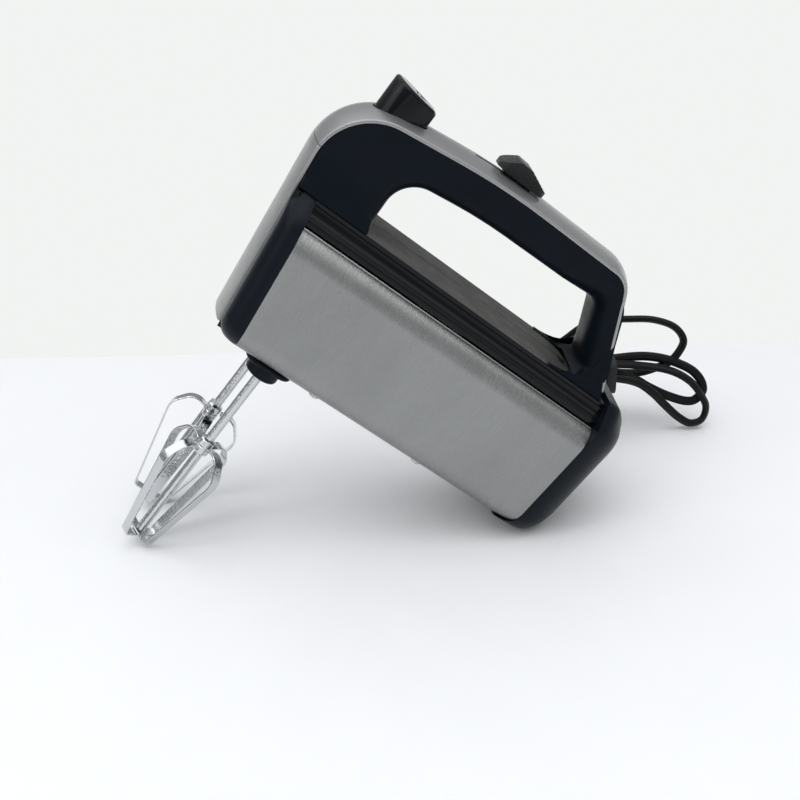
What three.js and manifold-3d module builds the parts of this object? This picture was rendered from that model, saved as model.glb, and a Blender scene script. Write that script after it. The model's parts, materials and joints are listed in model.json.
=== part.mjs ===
// A two-beater hand mixer, leaning on its beater tips and on the heel of its rear cap, with its lead
// folded and tied behind it. Lengths are millimetres.
//
// The mixer is drawn upright in axes of its own: X runs from the nose (negative) to the heel, Y across,
// and Z up from the flat base of the steel sleeve. The group "mixer" then leans it until the beater tips
// and the heel touch Z = 0, and centres it. The lead is drawn in the final axes.

import * as THREE from 'three';
import { mergeVertices } from 'three/addons/utils/BufferGeometryUtils.js';
import Module from 'manifold-3d';

const wasm = await Module();
wasm.setup();

// ---------------------------------------------------------------- driving dimensions

const GAP = 0.3;                 // between pieces that touch
const RUNNING_CLEARANCE = 0.6;   // between pieces that slide or turn past each other

// Motor housing
const BODY_LENGTH = 165;         // steel sleeve, along X at its base
const BODY_WIDTH = 76;
const BODY_HEIGHT = 66.5;        // steel sleeve
const BODY_CORNER = 12;          // rounding of the sleeve's long edges
const SLEEVE_SHEET = 0.9;
const SLEEVE_LIP = 9;            // width of the sleeve's top, from its side to its edge
const SLEEVE_REAR_RADIUS = 8;
const NOSE_LEAN = 0.108;         // forward shift of the front end for each unit of height
const SHELL_WALL = 2.2;
const DECK_HEIGHT = 77.5;        // flat deck between the handle's posts
const DECK_INSET = 14;           // deck edge, from the body's side
const BEZEL_DEPTH = 11;
const BEZEL_CORNER = 10.5;
const FRONT_RECESS = 3;          // depth of the bezel's recess behind the front panel
const RECESS_FOOT = 1.6;         // lower edge of that recess, above the base
const CHANNEL_RIM = 25.5;        // half width of the glossy channel beside the front panel
const REAR_CAP_DEPTH = 22;
const REAR_CAP_CORNER = 24;
const HEEL_RADIUS = 17;
const REAR_CAP_DROP = 1.6;       // the rear cap's base, below the sleeve's base
const REAR_CAP_HEIGHT = 80.5;

// Handle and its silver cover
const COVER_WIDTH = 37;
const COVER_CROWN = 2.6;
const COVER_SHEET = 1.8;
const COVER_FLANK = 1.7;         // height of the cover's side edge
const COVER_TOP = 132.2;         // height of the cover's side edge over the grip
const NOSE_TOP = 121;            // where the lines of the nose and of the grip would meet
const COVER_STANDOFF = 11.6;     // cover's side edge, in front of the sleeve's front edge
const COVER_NOSE_RADIUS = 30;
const COVER_HEEL_RADIUS = 14;
const COVER_SPLIT_HEIGHT = 97;   // parting line of front panel and handle cover
const GRIP_DEPTH = 17;
const GRIP_WALL = 2.6;
const FRONT_POST_DEPTH = 38;
const REAR_POST_DEPTH = 15;
const OPENING_FRONT_RADIUS = 15;
const OPENING_REAR_RADIUS = 8;

// Beaters and drive
const SPINDLE_X = 20;
const SPINDLE_SPACING = 38;
const SHAFT_DIAMETER = 4.8;
const SHAFT_REACH = 117.5;       // shaft tip, below the base
const SHAFT_SEAT = 30;           // shaft top, above the base
const CAGE_RADIUS = 19.5;
const CAGE_FOOT_RADIUS = 9.5;
const CAGE_TOP = 57;             // below the base
const STRIP_WIDTH = 5;
const STRIP_SHEET = 0.9;
const NEAR_BEATER_TURN = 50;     // degrees
const FAR_BEATER_TURN = 5;       // 45 degrees behind, so that the loops pass between each other
const SPINDLE_WALL = 2;
const WHEEL_HEIGHT = 36;         // height of the motor shaft and of the worm wheels' middle
const WHEEL_THICKNESS = 9;
const WHEEL_SIDE_CLEARANCE = 3.7;
const WHEEL_TEETH = 30;
const LEAST_WORM_RADIUS = 4.3;
const MOTOR_SHAFT_DIAMETER = 5;
const BUTTON_TRAVEL = 6;
const SLIDER_TRAVEL = 14;

// Lead
const CORD_DIAMETER = 5.4;

// ---------------------------------------------------------------- materials

function finish(color, roughness, metalness = 0) {
  return new THREE.MeshStandardMaterial({ color, roughness, metalness });
}

const brushedSteel = finish(0x9a9a98, 0.34, 1);
const navyPlastic = finish(0x121920, 0.38);
const glossBlack = finish(0x0c0e12, 0.14);
const darkGrey = finish(0x4a4a4b, 0.6);
const silverPaint = finish(0xa9aaac, 0.36, 0.6);
const paleGrey = finish(0xd0d2d4, 0.45);
const chrome = finish(0xc9cccf, 0.12, 1);
const machinedSteel = finish(0x8b8d90, 0.3, 1);
const nylon = finish(0xe7e3d6, 0.5);
const copper = finish(0xb0673a, 0.35, 1);
const carbon = finish(0x2a2a2c, 0.7);
const phenolic = finish(0x5a3b27, 0.6);
const cordBlack = finish(0x0d0e10, 0.42);

// ---------------------------------------------------------------- outlines

// Corner-rounded outline. Each corner is [a, b] or [a, b, radius].
function rounded(corners, closed = true) {
  const points = [];
  corners.forEach((corner, i) => {
    const here = new THREE.Vector2(corner[0], corner[1]);
    const radius = corner[2] ?? 0;
    const isEnd = !closed && (i === 0 || i === corners.length - 1);
    if (radius === 0 || isEnd) {
      points.push(here);
      return;
    }
    const before = new THREE.Vector2(...corners.at(i - 1).slice(0, 2));
    const after = new THREE.Vector2(...corners[(i + 1) % corners.length].slice(0, 2));
    points.push(...cornerArc(before, here, after, radius));
  });
  return points;
}

function cornerArc(before, here, after, radius) {
  const back = before.clone().sub(here).normalize();
  const on = after.clone().sub(here).normalize();
  const half = Math.acos(THREE.MathUtils.clamp(back.dot(on), -1, 1)) / 2;
  const centre = back.clone().add(on).normalize().multiplyScalar(radius / Math.sin(half)).add(here);
  const start = back.clone().multiplyScalar(radius / Math.tan(half)).add(here).sub(centre);
  const end = on.clone().multiplyScalar(radius / Math.tan(half)).add(here).sub(centre);
  const turn = Math.atan2(start.cross(end), start.dot(end));
  const steps = Math.max(2, Math.round(Math.abs(turn) / (Math.PI / 12)));
  return Array.from({ length: steps + 1 }, (_, k) => {
    return start.clone().rotateAround(new THREE.Vector2(), (turn * k) / steps).add(centre);
  });
}

function circle(radius, sides, a = 0, b = 0) {
  return Array.from({ length: sides }, (_, k) => {
    const angle = (2 * Math.PI * k) / sides;
    return new THREE.Vector2(a + radius * Math.cos(angle), b + radius * Math.sin(angle));
  });
}

function rectangle(a0, a1, b0, b1, radius = 0) {
  return rounded([[a0, b0, radius], [a1, b0, radius], [a1, b1, radius], [a0, b1, radius]]);
}

// ---------------------------------------------------------------- solids

// A closed mesh with shared vertices becomes a manifold solid.
function solidOf(geometry) {
  const bare = geometry.index ? geometry.toNonIndexed() : geometry.clone();
  bare.deleteAttribute('normal');
  bare.deleteAttribute('uv');
  const merged = mergeVertices(bare, 1e-4);
  const kept = [];
  const index = merged.index.array;
  for (let i = 0; i < index.length; i += 3) {
    const [a, b, c] = [index[i], index[i + 1], index[i + 2]];
    if (a !== b && b !== c && c !== a) kept.push(a, b, c);
  }
  const vertProperties = new Float32Array(merged.attributes.position.array);
  const triVerts = new Uint32Array(kept);
  return new wasm.Manifold(new wasm.Mesh({ numProp: 3, vertProperties, triVerts }));
}

function geometryOf(solid) {
  const mesh = solid.getMesh();
  const geometry = new THREE.BufferGeometry();
  geometry.setAttribute('position', new THREE.BufferAttribute(mesh.vertProperties, 3));
  geometry.setIndex(new THREE.BufferAttribute(mesh.triVerts, 1));
  geometry.computeVertexNormals();
  return geometry;
}

function extruded(points, depth) {
  const settings = { depth, bevelEnabled: false, steps: 1 };
  return new THREE.ExtrudeGeometry(new THREE.Shape(points), settings);
}

// Side profile (x, z), carried across from y0 to y1.
function sideProfile(points, y0, y1) {
  return solidOf(extruded(points, y1 - y0).rotateX(Math.PI / 2).translate(0, y1, 0));
}

// Cross-section (y, z), carried along from x0 to x1.
function crossSection(points, x0, x1) {
  const toX = new THREE.Matrix4().makeBasis(
    new THREE.Vector3(0, 1, 0), new THREE.Vector3(0, 0, 1), new THREE.Vector3(1, 0, 0));
  return solidOf(extruded(points, x1 - x0).applyMatrix4(toX).translate(x0, 0, 0));
}

// Plan (x, y), carried up from z0 to z1.
function plan(points, z0, z1) {
  return solidOf(extruded(points, z1 - z0).translate(0, 0, z0));
}

// Plan carried up along the leaning front: x = 0 of the plan is the sleeve's front edge.
function leaningPlan(points, z0, z1) {
  const shear = new THREE.Matrix4().makeShear(0, 0, 0, 0, -NOSE_LEAN, 0);
  return solidOf(extruded(points, z1 - z0).translate(0, 0, z0).applyMatrix4(shear));
}

// Turned solid. Profile points are [radius, height], and the axis is Z.
function turned(profile, sides = 20) {
  const points = profile.map(([radius, height]) => new THREE.Vector2(radius, height));
  return solidOf(new THREE.LatheGeometry(points, sides).rotateX(Math.PI / 2));
}

function rod(radius, z0, z1, sides = 16) {
  return turned([[0, z0], [radius, z0], [radius, z1], [0, z1]], sides);
}

function pipe(outer, inner, z0, z1, sides = 20) {
  return turned([[outer, z0], [outer, z1], [inner, z1], [inner, z0], [outer, z0]], sides);
}

function along(axis, solid) {
  if (axis === 'x') return solid.rotate([0, 90, 0]);
  if (axis === 'y') return solid.rotate([-90, 0, 0]);
  return solid;
}

// A closed section [across, out] swept along a path of { at, out, across } frames.
function swept(frames, outline) {
  const corners = outline.map(([a, b]) => new THREE.Vector2(a, b));
  const section = THREE.ShapeUtils.isClockWise(corners) ? [...outline].reverse() : outline;
  const count = section.length;
  const positions = [];
  for (const { at, out, across } of frames) {
    for (const [a, b] of section) {
      const point = at.clone().addScaledVector(across, a).addScaledVector(out, b);
      positions.push(point.x, point.y, point.z);
    }
  }
  const triangles = [];
  for (let ring = 0; ring < frames.length - 1; ring++) {
    for (let k = 0; k < count; k++) {
      const a = ring * count + k;
      const b = ring * count + ((k + 1) % count);
      triangles.push(a, b, b + count, a, b + count, a + count);
    }
  }
  const caps = THREE.ShapeUtils.triangulateShape(section.map(([a, b]) => new THREE.Vector2(a, b)), []);
  const last = (frames.length - 1) * count;
  for (const [a, b, c] of caps) {
    triangles.push(a, c, b, last + a, last + b, last + c);
  }
  const geometry = new THREE.BufferGeometry();
  geometry.setAttribute('position', new THREE.Float32BufferAttribute(positions, 3));
  geometry.setIndex(triangles);
  return solidOf(signedVolume(geometry) < 0 ? flipped(geometry) : geometry);
}

function signedVolume(geometry) {
  const [a, b, c] = [new THREE.Vector3(), new THREE.Vector3(), new THREE.Vector3()];
  const position = geometry.attributes.position;
  const index = geometry.index.array;
  let volume = 0;
  for (let i = 0; i < index.length; i += 3) {
    a.fromBufferAttribute(position, index[i]);
    b.fromBufferAttribute(position, index[i + 1]);
    c.fromBufferAttribute(position, index[i + 2]);
    volume += a.dot(b.cross(c)) / 6;
  }
  return volume;
}

function flipped(geometry) {
  const index = geometry.index.array;
  for (let i = 0; i < index.length; i += 3) {
    [index[i], index[i + 1]] = [index[i + 1], index[i]];
  }
  return geometry;
}

// ---------------------------------------------------------------- assembly

const mixer = new THREE.Group();

function piece(name, solid, material, parent = mixer) {
  const mesh = new THREE.Mesh(geometryOf(solid), material);
  mesh.name = name;
  parent.add(mesh);
  return mesh;
}

// ---------------------------------------------------------------- shared lines

const HALF_WIDTH = BODY_WIDTH / 2;
const DECK_HALF = HALF_WIDTH - DECK_INSET;
const HEEL_X = BODY_LENGTH + REAR_CAP_DEPTH;

function frontAt(z) {
  return -NOSE_LEAN * z;
}

// Section of the motor housing, grown outwards by `grow`.
function bodySection(grow, top = BODY_HEIGHT) {
  const side = HALF_WIDTH + grow;
  const radius = BODY_CORNER + grow;
  return rectangle(-side, side, -grow, top + grow, radius);
}

// Side outline of the sleeve, grown outwards by `grow`.
function sleeveOutline(grow) {
  const [low, high] = [-20, BODY_HEIGHT + 20];
  return rounded([
    [frontAt(low) - grow, low],
    [BODY_LENGTH - 3 * SLEEVE_REAR_RADIUS, low],
    [BODY_LENGTH - SLEEVE_REAR_RADIUS, -grow],
    [BODY_LENGTH + grow, -grow, SLEEVE_REAR_RADIUS],
    [BODY_LENGTH + grow, high],
    [frontAt(high) - grow, high],
  ]);
}

// Line of the silver cover's side edge, from the base of the nose over the grip to the rear foot.
const COVER_LINE = rounded([
  [-COVER_STANDOFF - NOSE_LEAN * -2, -2],
  [-COVER_STANDOFF - NOSE_LEAN * NOSE_TOP, NOSE_TOP, COVER_NOSE_RADIUS],
  [57, COVER_TOP, 350],
  [BODY_LENGTH - 31.4, COVER_TOP, COVER_HEEL_RADIUS],
  [BODY_LENGTH - 0.6, DECK_HEIGHT],
], false);

// The cover line as frames for sweeping, with `out` square to the line.
function coverFrames(line) {
  return line.map((point, i) => {
    const before = line[Math.max(i - 1, 0)];
    const after = line[Math.min(i + 1, line.length - 1)];
    const tangent = after.clone().sub(before).normalize();
    return {
      at: new THREE.Vector3(point.x, 0, point.y),
      out: new THREE.Vector3(-tangent.y, 0, tangent.x),
      across: new THREE.Vector3(0, 1, 0),
    };
  });
}

function offsetLine(line, distance) {
  return coverFrames(line).map(({ at, out }) => {
    return new THREE.Vector2(at.x + out.x * distance, at.z + out.z * distance);
  });
}

// Crowned section of the cover: [across, out].
function coverSection() {
  const half = COVER_WIDTH / 2;
  const crown = (width, height, low) => Array.from({ length: 9 }, (_, k) => {
    const share = (2 * k) / 8 - 1;
    return [share * width, low + height * (1 - share * share)];
  });
  const outer = crown(half - 0.5, COVER_CROWN, 0);
  const inner = crown(half - COVER_SHEET, COVER_CROWN - 0.3, COVER_FLANK * -0.2 - COVER_SHEET + 0.6);
  return [
    [-half, -COVER_FLANK],
    [-half, -0.5],
    ...outer,
    [half, -0.5],
    [half, -COVER_FLANK],
    [half - COVER_SHEET, -COVER_FLANK],
    ...inner.slice(1, -1).reverse(),
    [-half + COVER_SHEET, -COVER_FLANK],
  ];
}

function coverSweep() {
  return swept(coverFrames(COVER_LINE), coverSection());
}

// Sections and outlines of the two end caps: the body's, with shoulders up to the deck.
function capSection(drop, top, grow = 0) {
  const side = HALF_WIDTH + grow;
  const deck = DECK_HALF + 1.5 + grow;
  return rounded([
    [-side, -drop, BODY_CORNER],
    [side, -drop, BODY_CORNER],
    [side, BODY_HEIGHT + 1, BODY_CORNER],
    [deck, top, 3],
    [-deck, top, 3],
    [-side, BODY_HEIGHT + 1, BODY_CORNER],
  ]);
}

function spindleSides() {
  return [['near', -SPINDLE_SPACING / 2], ['far', SPINDLE_SPACING / 2]];
}

function union(solids) {
  return solids.reduce((whole, solid) => whole.add(solid));
}

function box(x0, x1, y0, y1, z0, z1) {
  return plan(rectangle(x0, x1, y0, y1), z0, z1);
}

// ---------------------------------------------------------------- housing

const SCREW_RADIUS = 1.3;
const SCREW_HOLE = SCREW_RADIUS + GAP;
const FOOT_Y = HALF_WIDTH - 14;
const FRAME_FEET = [[46, -FOOT_Y], [46, FOOT_Y], [108, -FOOT_Y], [108, FOOT_Y]];
const SHAFT_RADIUS = SHAFT_DIAMETER / 2;
const SPINDLE_BORE = SHAFT_RADIUS + GAP;
const SPINDLE_RADIUS = SPINDLE_BORE + SPINDLE_WALL;
const SOCKET_HOLE = SPINDLE_RADIUS + RUNNING_CLEARANCE;

function steelSleeve() {
  const lip = HALF_WIDTH - SLEEVE_LIP;
  const [x0, x1] = [-20, BODY_LENGTH + 5];
  const outside = crossSection(bodySection(0), x0, x1);
  const inside = crossSection(bodySection(-SLEEVE_SHEET), x0 - 1, x1 + 1);
  const mouth = crossSection(rectangle(-lip, lip, BODY_HEIGHT - 3, BODY_HEIGHT + 3), x0 - 1, x1 + 1);
  const outline = sideProfile(sleeveOutline(0), -HALF_WIDTH - 1, HALF_WIDTH + 1);
  const sockets = spindleSides().map(([, y]) => rod(SOCKET_HOLE, -5, 5).translate([SPINDLE_X, y, 0]));
  const screwHoles = FRAME_FEET.map(([x, y]) => rod(SCREW_HOLE, -5, 5, 10).translate([x, y, 0]));
  return outside.subtract(inside).subtract(mouth).intersect(outline)
    .subtract(union([...sockets, ...screwHoles]));
}

function bezelBody(grow, rear) {
  const side = HALF_WIDTH + grow;
  const front = -BEZEL_DEPTH - grow;
  const outline = rounded([
    [front, -side, BEZEL_CORNER + grow], [rear, -side], [rear, side], [front, side, BEZEL_CORNER + grow],
  ]);
  const section = crossSection(capSection(grow, DECK_HEIGHT + grow, grow), -40, 15);
  return leaningPlan(outline, -20, DECK_HEIGHT + 20).intersect(section);
}

function frontBezel() {
  const floor = -BEZEL_DEPTH + FRONT_RECESS;
  const recess = leaningPlan(rectangle(-40, floor, -CHANNEL_RIM, CHANNEL_RIM), RECESS_FOOT, 100);
  const behindFloor = leaningPlan(rectangle(floor + SHELL_WALL, 5, -HALF_WIDTH, HALF_WIDTH), -5, 100);
  const cavity = bezelBody(-SHELL_WALL, 5).intersect(behindFloor);
  return bezelBody(0, -GAP).subtract(recess).subtract(cavity);
}

function frontChannel() {
  const floor = -BEZEL_DEPTH + FRONT_RECESS - GAP;
  const plate = rounded([
    [floor - 2.6, -CHANNEL_RIM + GAP],
    [floor, -CHANNEL_RIM + GAP],
    [floor, CHANNEL_RIM - GAP],
    [floor - 2.6, CHANNEL_RIM - GAP],
    [floor - 2.6, CHANNEL_RIM - 1.5],
    [floor - 1, CHANNEL_RIM - 2.2],
    [floor - 1, -CHANNEL_RIM + 2.2],
    [floor - 2.6, -CHANNEL_RIM + 1.5],
  ]);
  return leaningPlan(plate, RECESS_FOOT + GAP, DECK_HEIGHT - 0.5);
}

function trimRail(side) {
  const outer = HALF_WIDTH - SLEEVE_LIP + 1;
  const inner = DECK_HALF - 1;
  const low = BODY_HEIGHT + GAP;
  const section = [
    [outer, low],
    [outer, low + 2.6],
    [outer - 0.9, low + 3.4],
    [inner + 2.4, DECK_HEIGHT - 2],
    [inner + 1.5, DECK_HEIGHT - 2],
    [inner + 1.5, DECK_HEIGHT],
    [inner, DECK_HEIGHT],
    [inner, low],
  ].map(([y, z]) => new THREE.Vector2(side * y, z));
  const outline = sideProfile(sleeveOutline(0), -HALF_WIDTH, HALF_WIDTH);
  return crossSection(section, -20, BODY_LENGTH + 5).intersect(outline);
}

const EJECT_ROD_X = 2;
const HANDLE_SCREW_XS = [FRONT_POST_DEPTH - 25, BODY_LENGTH - REAR_POST_DEPTH + 3.5];
const HANDLE_SCREWS = HANDLE_SCREW_XS.flatMap((x) => [[x, -9], [x, 9]]);

function topCover() {
  const half = DECK_HALF - 1 - GAP;
  const flange = BODY_HEIGHT + 1;
  const section = rounded([
    [-half, flange], [-half + 2, flange], [-half + 2, DECK_HEIGHT - 2.2], [half - 2, DECK_HEIGHT - 2.2],
    [half - 2, flange], [half, flange], [half, DECK_HEIGHT], [-half, DECK_HEIGHT],
  ]);
  const outline = sideProfile(sleeveOutline(0), -HALF_WIDTH, HALF_WIDTH);
  const rodHole = box(EJECT_ROD_X - 3, EJECT_ROD_X + 3, -5, 5, 60, 90);
  const wireHole = box(BODY_LENGTH - 25, BODY_LENGTH - 19, -5, 5, 60, 90);
  const screwHoles = HANDLE_SCREWS.map(([x, y]) => rod(SCREW_HOLE, 60, 90, 10).translate([x, y, 0]));
  return crossSection(section, -20, BODY_LENGTH + 5).intersect(outline)
    .subtract(union([rodHole, wireHole, ...screwHoles]));
}

const CAP_SCREWS = [[-16, 24], [16, 24]];
const CORD_EXIT = { x: BODY_LENGTH + 7, z: 50 };
const BOOT_NECK = 4.2;
const BOOT_LENGTH = 23.5;

function rearCapBody(grow) {
  const [side, low, high] = [HALF_WIDTH + grow, -REAR_CAP_DROP - grow, REAR_CAP_HEIGHT + grow];
  const heel = HEEL_X + grow;
  const section = crossSection(capSection(-low, high, grow), BODY_LENGTH - 12, heel + 1);
  const profile = sideProfile(rounded([
    [BODY_LENGTH - SLEEVE_REAR_RADIUS, low],
    [heel, low, HEEL_RADIUS + grow],
    [heel, 69, 25 + grow],
    [BODY_LENGTH + 8, high, 7 + grow],
    [BODY_LENGTH - SLEEVE_REAR_RADIUS, high],
  ]), -side - 1, side + 1);
  const outline = plan(rounded([
    [BODY_LENGTH - 12, -side],
    [heel, -side, REAR_CAP_CORNER + grow],
    [heel, side, REAR_CAP_CORNER + grow],
    [BODY_LENGTH - 12, side],
  ]), low - 5, high + 5);
  return section.intersect(profile).intersect(outline);
}

function rearCap() {
  const shell = rearCapBody(0).subtract(rearCapBody(-SHELL_WALL));
  const bosses = CAP_SCREWS.map(([y, z]) => {
    return along('x', rod(5, 0, 16, 12)).translate([HEEL_X - 17, y, z]).intersect(rearCapBody(0));
  });
  const bores = CAP_SCREWS.flatMap(([y, z]) => [
    along('x', rod(SCREW_HOLE, 0, 20, 10)).translate([HEEL_X - 18, y, z]),
    along('x', rod(3.6, 0, 6, 12)).translate([HEEL_X - 4, y, z]),
  ]);
  const exit = along('y', rod(BOOT_NECK + GAP, 0, 20, 16))
    .translate([CORD_EXIT.x, HALF_WIDTH - 12, CORD_EXIT.z]);
  const sleeve = sideProfile(sleeveOutline(GAP), -HALF_WIDTH - 2, HALF_WIDTH + 2);
  return shell.add(union(bosses)).subtract(union([...bores, exit, sleeve]));
}

function socketFlange() {
  const [reach, thickness, bossHeight, bossRadius] = [12.5, 2.4, 9.4, 8.6];
  const edge = SPINDLE_SPACING / 2 + bossRadius + 2;
  const plate = plan(rectangle(SPINDLE_X - reach, SPINDLE_X + reach, -edge, edge, 7), -GAP - thickness, -GAP);
  const bosses = spindleSides().map(([, y]) => {
    return turned([[0, -bossHeight], [bossRadius - 1.2, -bossHeight], [bossRadius, -bossHeight + 1.2],
      [bossRadius, -GAP], [0, -GAP]], 24).translate([SPINDLE_X, y, 0]);
  });
  const bores = spindleSides().map(([, y]) => {
    return rod(SPINDLE_RADIUS + RUNNING_CLEARANCE, -12, 2, 20).translate([SPINDLE_X, y, 0]);
  });
  return plate.add(union(bosses)).subtract(union(bores));
}

// ---------------------------------------------------------------- handle

// Line of the finger opening: up the front post, along the grip's underside, down the rear post.
const OPENING_CORNERS = [
  [FRONT_POST_DEPTH - 19, DECK_HEIGHT - 10],
  [FRONT_POST_DEPTH - 19, COVER_TOP - GRIP_DEPTH - 8.5, OPENING_FRONT_RADIUS],
  [58, COVER_TOP - GRIP_DEPTH - 3, 250],
  [BODY_LENGTH - REAR_POST_DEPTH - 20, COVER_TOP - GRIP_DEPTH - 1.5, OPENING_REAR_RADIUS],
];
const REAR_POST_FOOT = [BODY_LENGTH - REAR_POST_DEPTH - 2.5, DECK_HEIGHT + 2];
const SKIRT_FRONT = BODY_LENGTH - REAR_POST_DEPTH - 28;
const OPENING_LINE = rounded([
  ...OPENING_CORNERS,
  [...REAR_POST_FOOT, 8],
  [SKIRT_FRONT, DECK_HEIGHT + 1.8],
  [SKIRT_FRONT, DECK_HEIGHT - 10],
], false);

function handleFrame() {
  const foot = DECK_HEIGHT + GAP;
  const outer = offsetLine(COVER_LINE, -COVER_FLANK - GAP);
  const arch = sideProfile([...OPENING_LINE, ...outer.reverse()].reverse(), -40, 40);
  const half = COVER_WIDTH / 2;
  const flare = crossSection(rounded([
    [-DECK_HALF, foot],
    [DECK_HALF, foot],
    [DECK_HALF - 0.6, foot + 2.5, 6],
    [half, foot + 20, 40],
    [half, COVER_TOP + 20],
    [-half, COVER_TOP + 20],
    [-half, foot + 20, 40],
    [-DECK_HALF + 0.6, foot + 2.5, 6],
  ]), -60, BODY_LENGTH + 20);
  const inside = sideProfile([
    ...offsetLine(rounded([...OPENING_CORNERS, REAR_POST_FOOT], false), GRIP_WALL),
    new THREE.Vector2(REAR_POST_FOOT[0] + GRIP_WALL, DECK_HEIGHT - 5),
    new THREE.Vector2(BODY_LENGTH + 30, DECK_HEIGHT - 5),
    new THREE.Vector2(BODY_LENGTH + 30, COVER_TOP + 30),
    new THREE.Vector2(-60, COVER_TOP + 30),
    new THREE.Vector2(-60, DECK_HEIGHT - 10),
  ].reverse(), -half + GRIP_WALL, half - GRIP_WALL);
  const tongueHalf = DECK_HALF - 3.5;
  const tongueEnd = BODY_LENGTH - REAR_POST_DEPTH - 4;
  const tongue = plan(rounded([
    [60, -tongueHalf], [tongueEnd, -tongueHalf, tongueHalf * 0.8],
    [tongueEnd, tongueHalf, tongueHalf * 0.8], [60, tongueHalf],
  ]), DECK_HEIGHT - 5, DECK_HEIGHT + 2.2);
  const bosses = HANDLE_SCREWS.map(([x, y]) => rod(4, foot, foot + 7, 12).translate([x, y, 0]));
  const bores = HANDLE_SCREWS.map(([x, y]) => rod(SCREW_HOLE, foot - 1, foot + 6, 10).translate([x, y, 0]));
  return arch.intersect(flare).subtract(inside).add(union(bosses)).subtract(tongue).subtract(union(bores));
}

// Outline of the button in plan, grown outwards by `grow`.
function buttonOutline(grow) {
  return rounded([
    [-9.4 - grow, -9.5 - grow, 9.2 + grow],
    [6, -9.5 - grow, 12],
    [14.9 + grow, -6 - grow, 4 + grow],
    [14.9 + grow, 6 + grow, 4 + grow],
    [6, 9.5 + grow, 12],
    [-9.4 - grow, 9.5 + grow, 9.2 + grow],
  ]);
}

const SLIDER_REAR = 78;
const SLIDER_LENGTH = 26.5;
const SLOT_WIDTH = 4.4;
const STEM_LENGTH = 16;
const STEM_WIDTH = 3.4;
const STEM_REAR = SLIDER_REAR - 6;
const SLOT = [STEM_REAR - STEM_LENGTH - SLIDER_TRAVEL - RUNNING_CLEARANCE, STEM_REAR + RUNNING_CLEARANCE];
const CROWN_TOP = COVER_TOP + COVER_CROWN;
const STEM_FOOT = CROWN_TOP - 8.4;

function handleCover() {
  const seat = plan(buttonOutline(RUNNING_CLEARANCE), 100, 160);
  const slot = plan(rectangle(...SLOT, -SLOT_WIDTH / 2, SLOT_WIDTH / 2, 1), 120, 150);
  const belowSplit = box(-60, 10, -40, 40, -50, COVER_SPLIT_HEIGHT + GAP / 2);
  const belowFoot = box(BODY_LENGTH - 20, BODY_LENGTH + 20, -40, 40, 0, REAR_CAP_HEIGHT + GAP);
  return coverSweep().subtract(union([seat, slot, belowSplit, belowFoot]));
}

function frontPanel() {
  const half = COVER_WIDTH / 2 + 1;
  const tongue = crossSection(rectangle(-half, half, RECESS_FOOT + GAP, 200, 13), -60, 10);
  const split = box(-60, 10, -40, 40, -50, COVER_SPLIT_HEIGHT - GAP / 2);
  return coverSweep().intersect(tongue).intersect(split);
}

function ejectButton() {
  const cap = plan(buttonOutline(0), 112, 150);
  const slope = sideProfile(rounded([[-20, 90], [30, 90], [30, 134.9], [-20, 141.7]]), -20, 20);
  return cap.intersect(slope);
}

function ejectYoke() {
  const top = 112 - GAP;
  const [low, high] = [61, 64];
  const stalk = box(EJECT_ROD_X - 1.8, EJECT_ROD_X + 1.8, -4, 4, low, top);
  const half = SPINDLE_SPACING / 2 + 5;
  const bar = box(EJECT_ROD_X - 1.8, SPINDLE_X + 5, -half, half, low, high);
  const pinFoot = SHAFT_SEAT + BUTTON_TRAVEL + 0.6;
  const pins = spindleSides().map(([, y]) => rod(SHAFT_RADIUS - 0.2, pinFoot, high - 1)
    .translate([SPINDLE_X, y, 0]));
  return union([stalk, bar, ...pins]);
}

function ejectSpring() {
  const [low, turns, wire, radius] = [DECK_HEIGHT + 1, 5, 0.5, 6.6];
  const top = 112 - 1;
  const rise = (top - low - 2 * wire) / turns;
  const count = turns * 12;
  const frames = Array.from({ length: count + 1 }, (_, k) => {
    const angle = (2 * Math.PI * k) / 12;
    const out = new THREE.Vector3(Math.cos(angle), Math.sin(angle), 0);
    const at = out.clone().multiplyScalar(radius).setZ(low + wire + (rise * k) / 12);
    return { at, out, across: new THREE.Vector3(0, 0, 1) };
  });
  const section = circle(wire, 5).map((point) => [point.x, point.y]);
  return swept(frames, section).translate([EJECT_ROD_X, 0, 0]);
}

function speedSlider() {
  const front = SLIDER_REAR - SLIDER_LENGTH;
  const base = CROWN_TOP + GAP + 0.4;
  const profile = sideProfile(rounded([
    [front, base], [SLIDER_REAR, base], [SLIDER_REAR, base + 2.6, 1.2], [SLIDER_REAR - 12, base + 7.6, 2.5],
    [front + 8, base + 7.9, 2.5], [front, base + 2.4, 1.2],
  ]), -8, 8);
  const outline = plan(rectangle(front, SLIDER_REAR, -7.5, 7.5, 4.5), base - 1, base + 12);
  const grooves = Array.from({ length: 5 }, (_, k) => {
    return along('y', rod(0.7, -10, 10, 6)).translate([SLIDER_REAR - 10.4 + k * 2, 0, base + 7.2 - k * 0.84]);
  });
  const stem = box(STEM_REAR - STEM_LENGTH, STEM_REAR, -STEM_WIDTH / 2, STEM_WIDTH / 2, STEM_FOOT, base + 1);
  return profile.intersect(outline).subtract(union(grooves)).add(stem);
}

function speedSwitch() {
  const top = STEM_FOOT - GAP;
  const body = box(SLOT[0] - 2, SLOT[1] + 6, -10, 10, top - 6, top);
  const terminals = [0, 1, 2, 3].map((k) => SLOT[0] + 4 + k * 9)
    .map((x) => box(x, x + 2, -1, 1, top - 8, top - 5));
  return union([body, ...terminals]);
}

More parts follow.
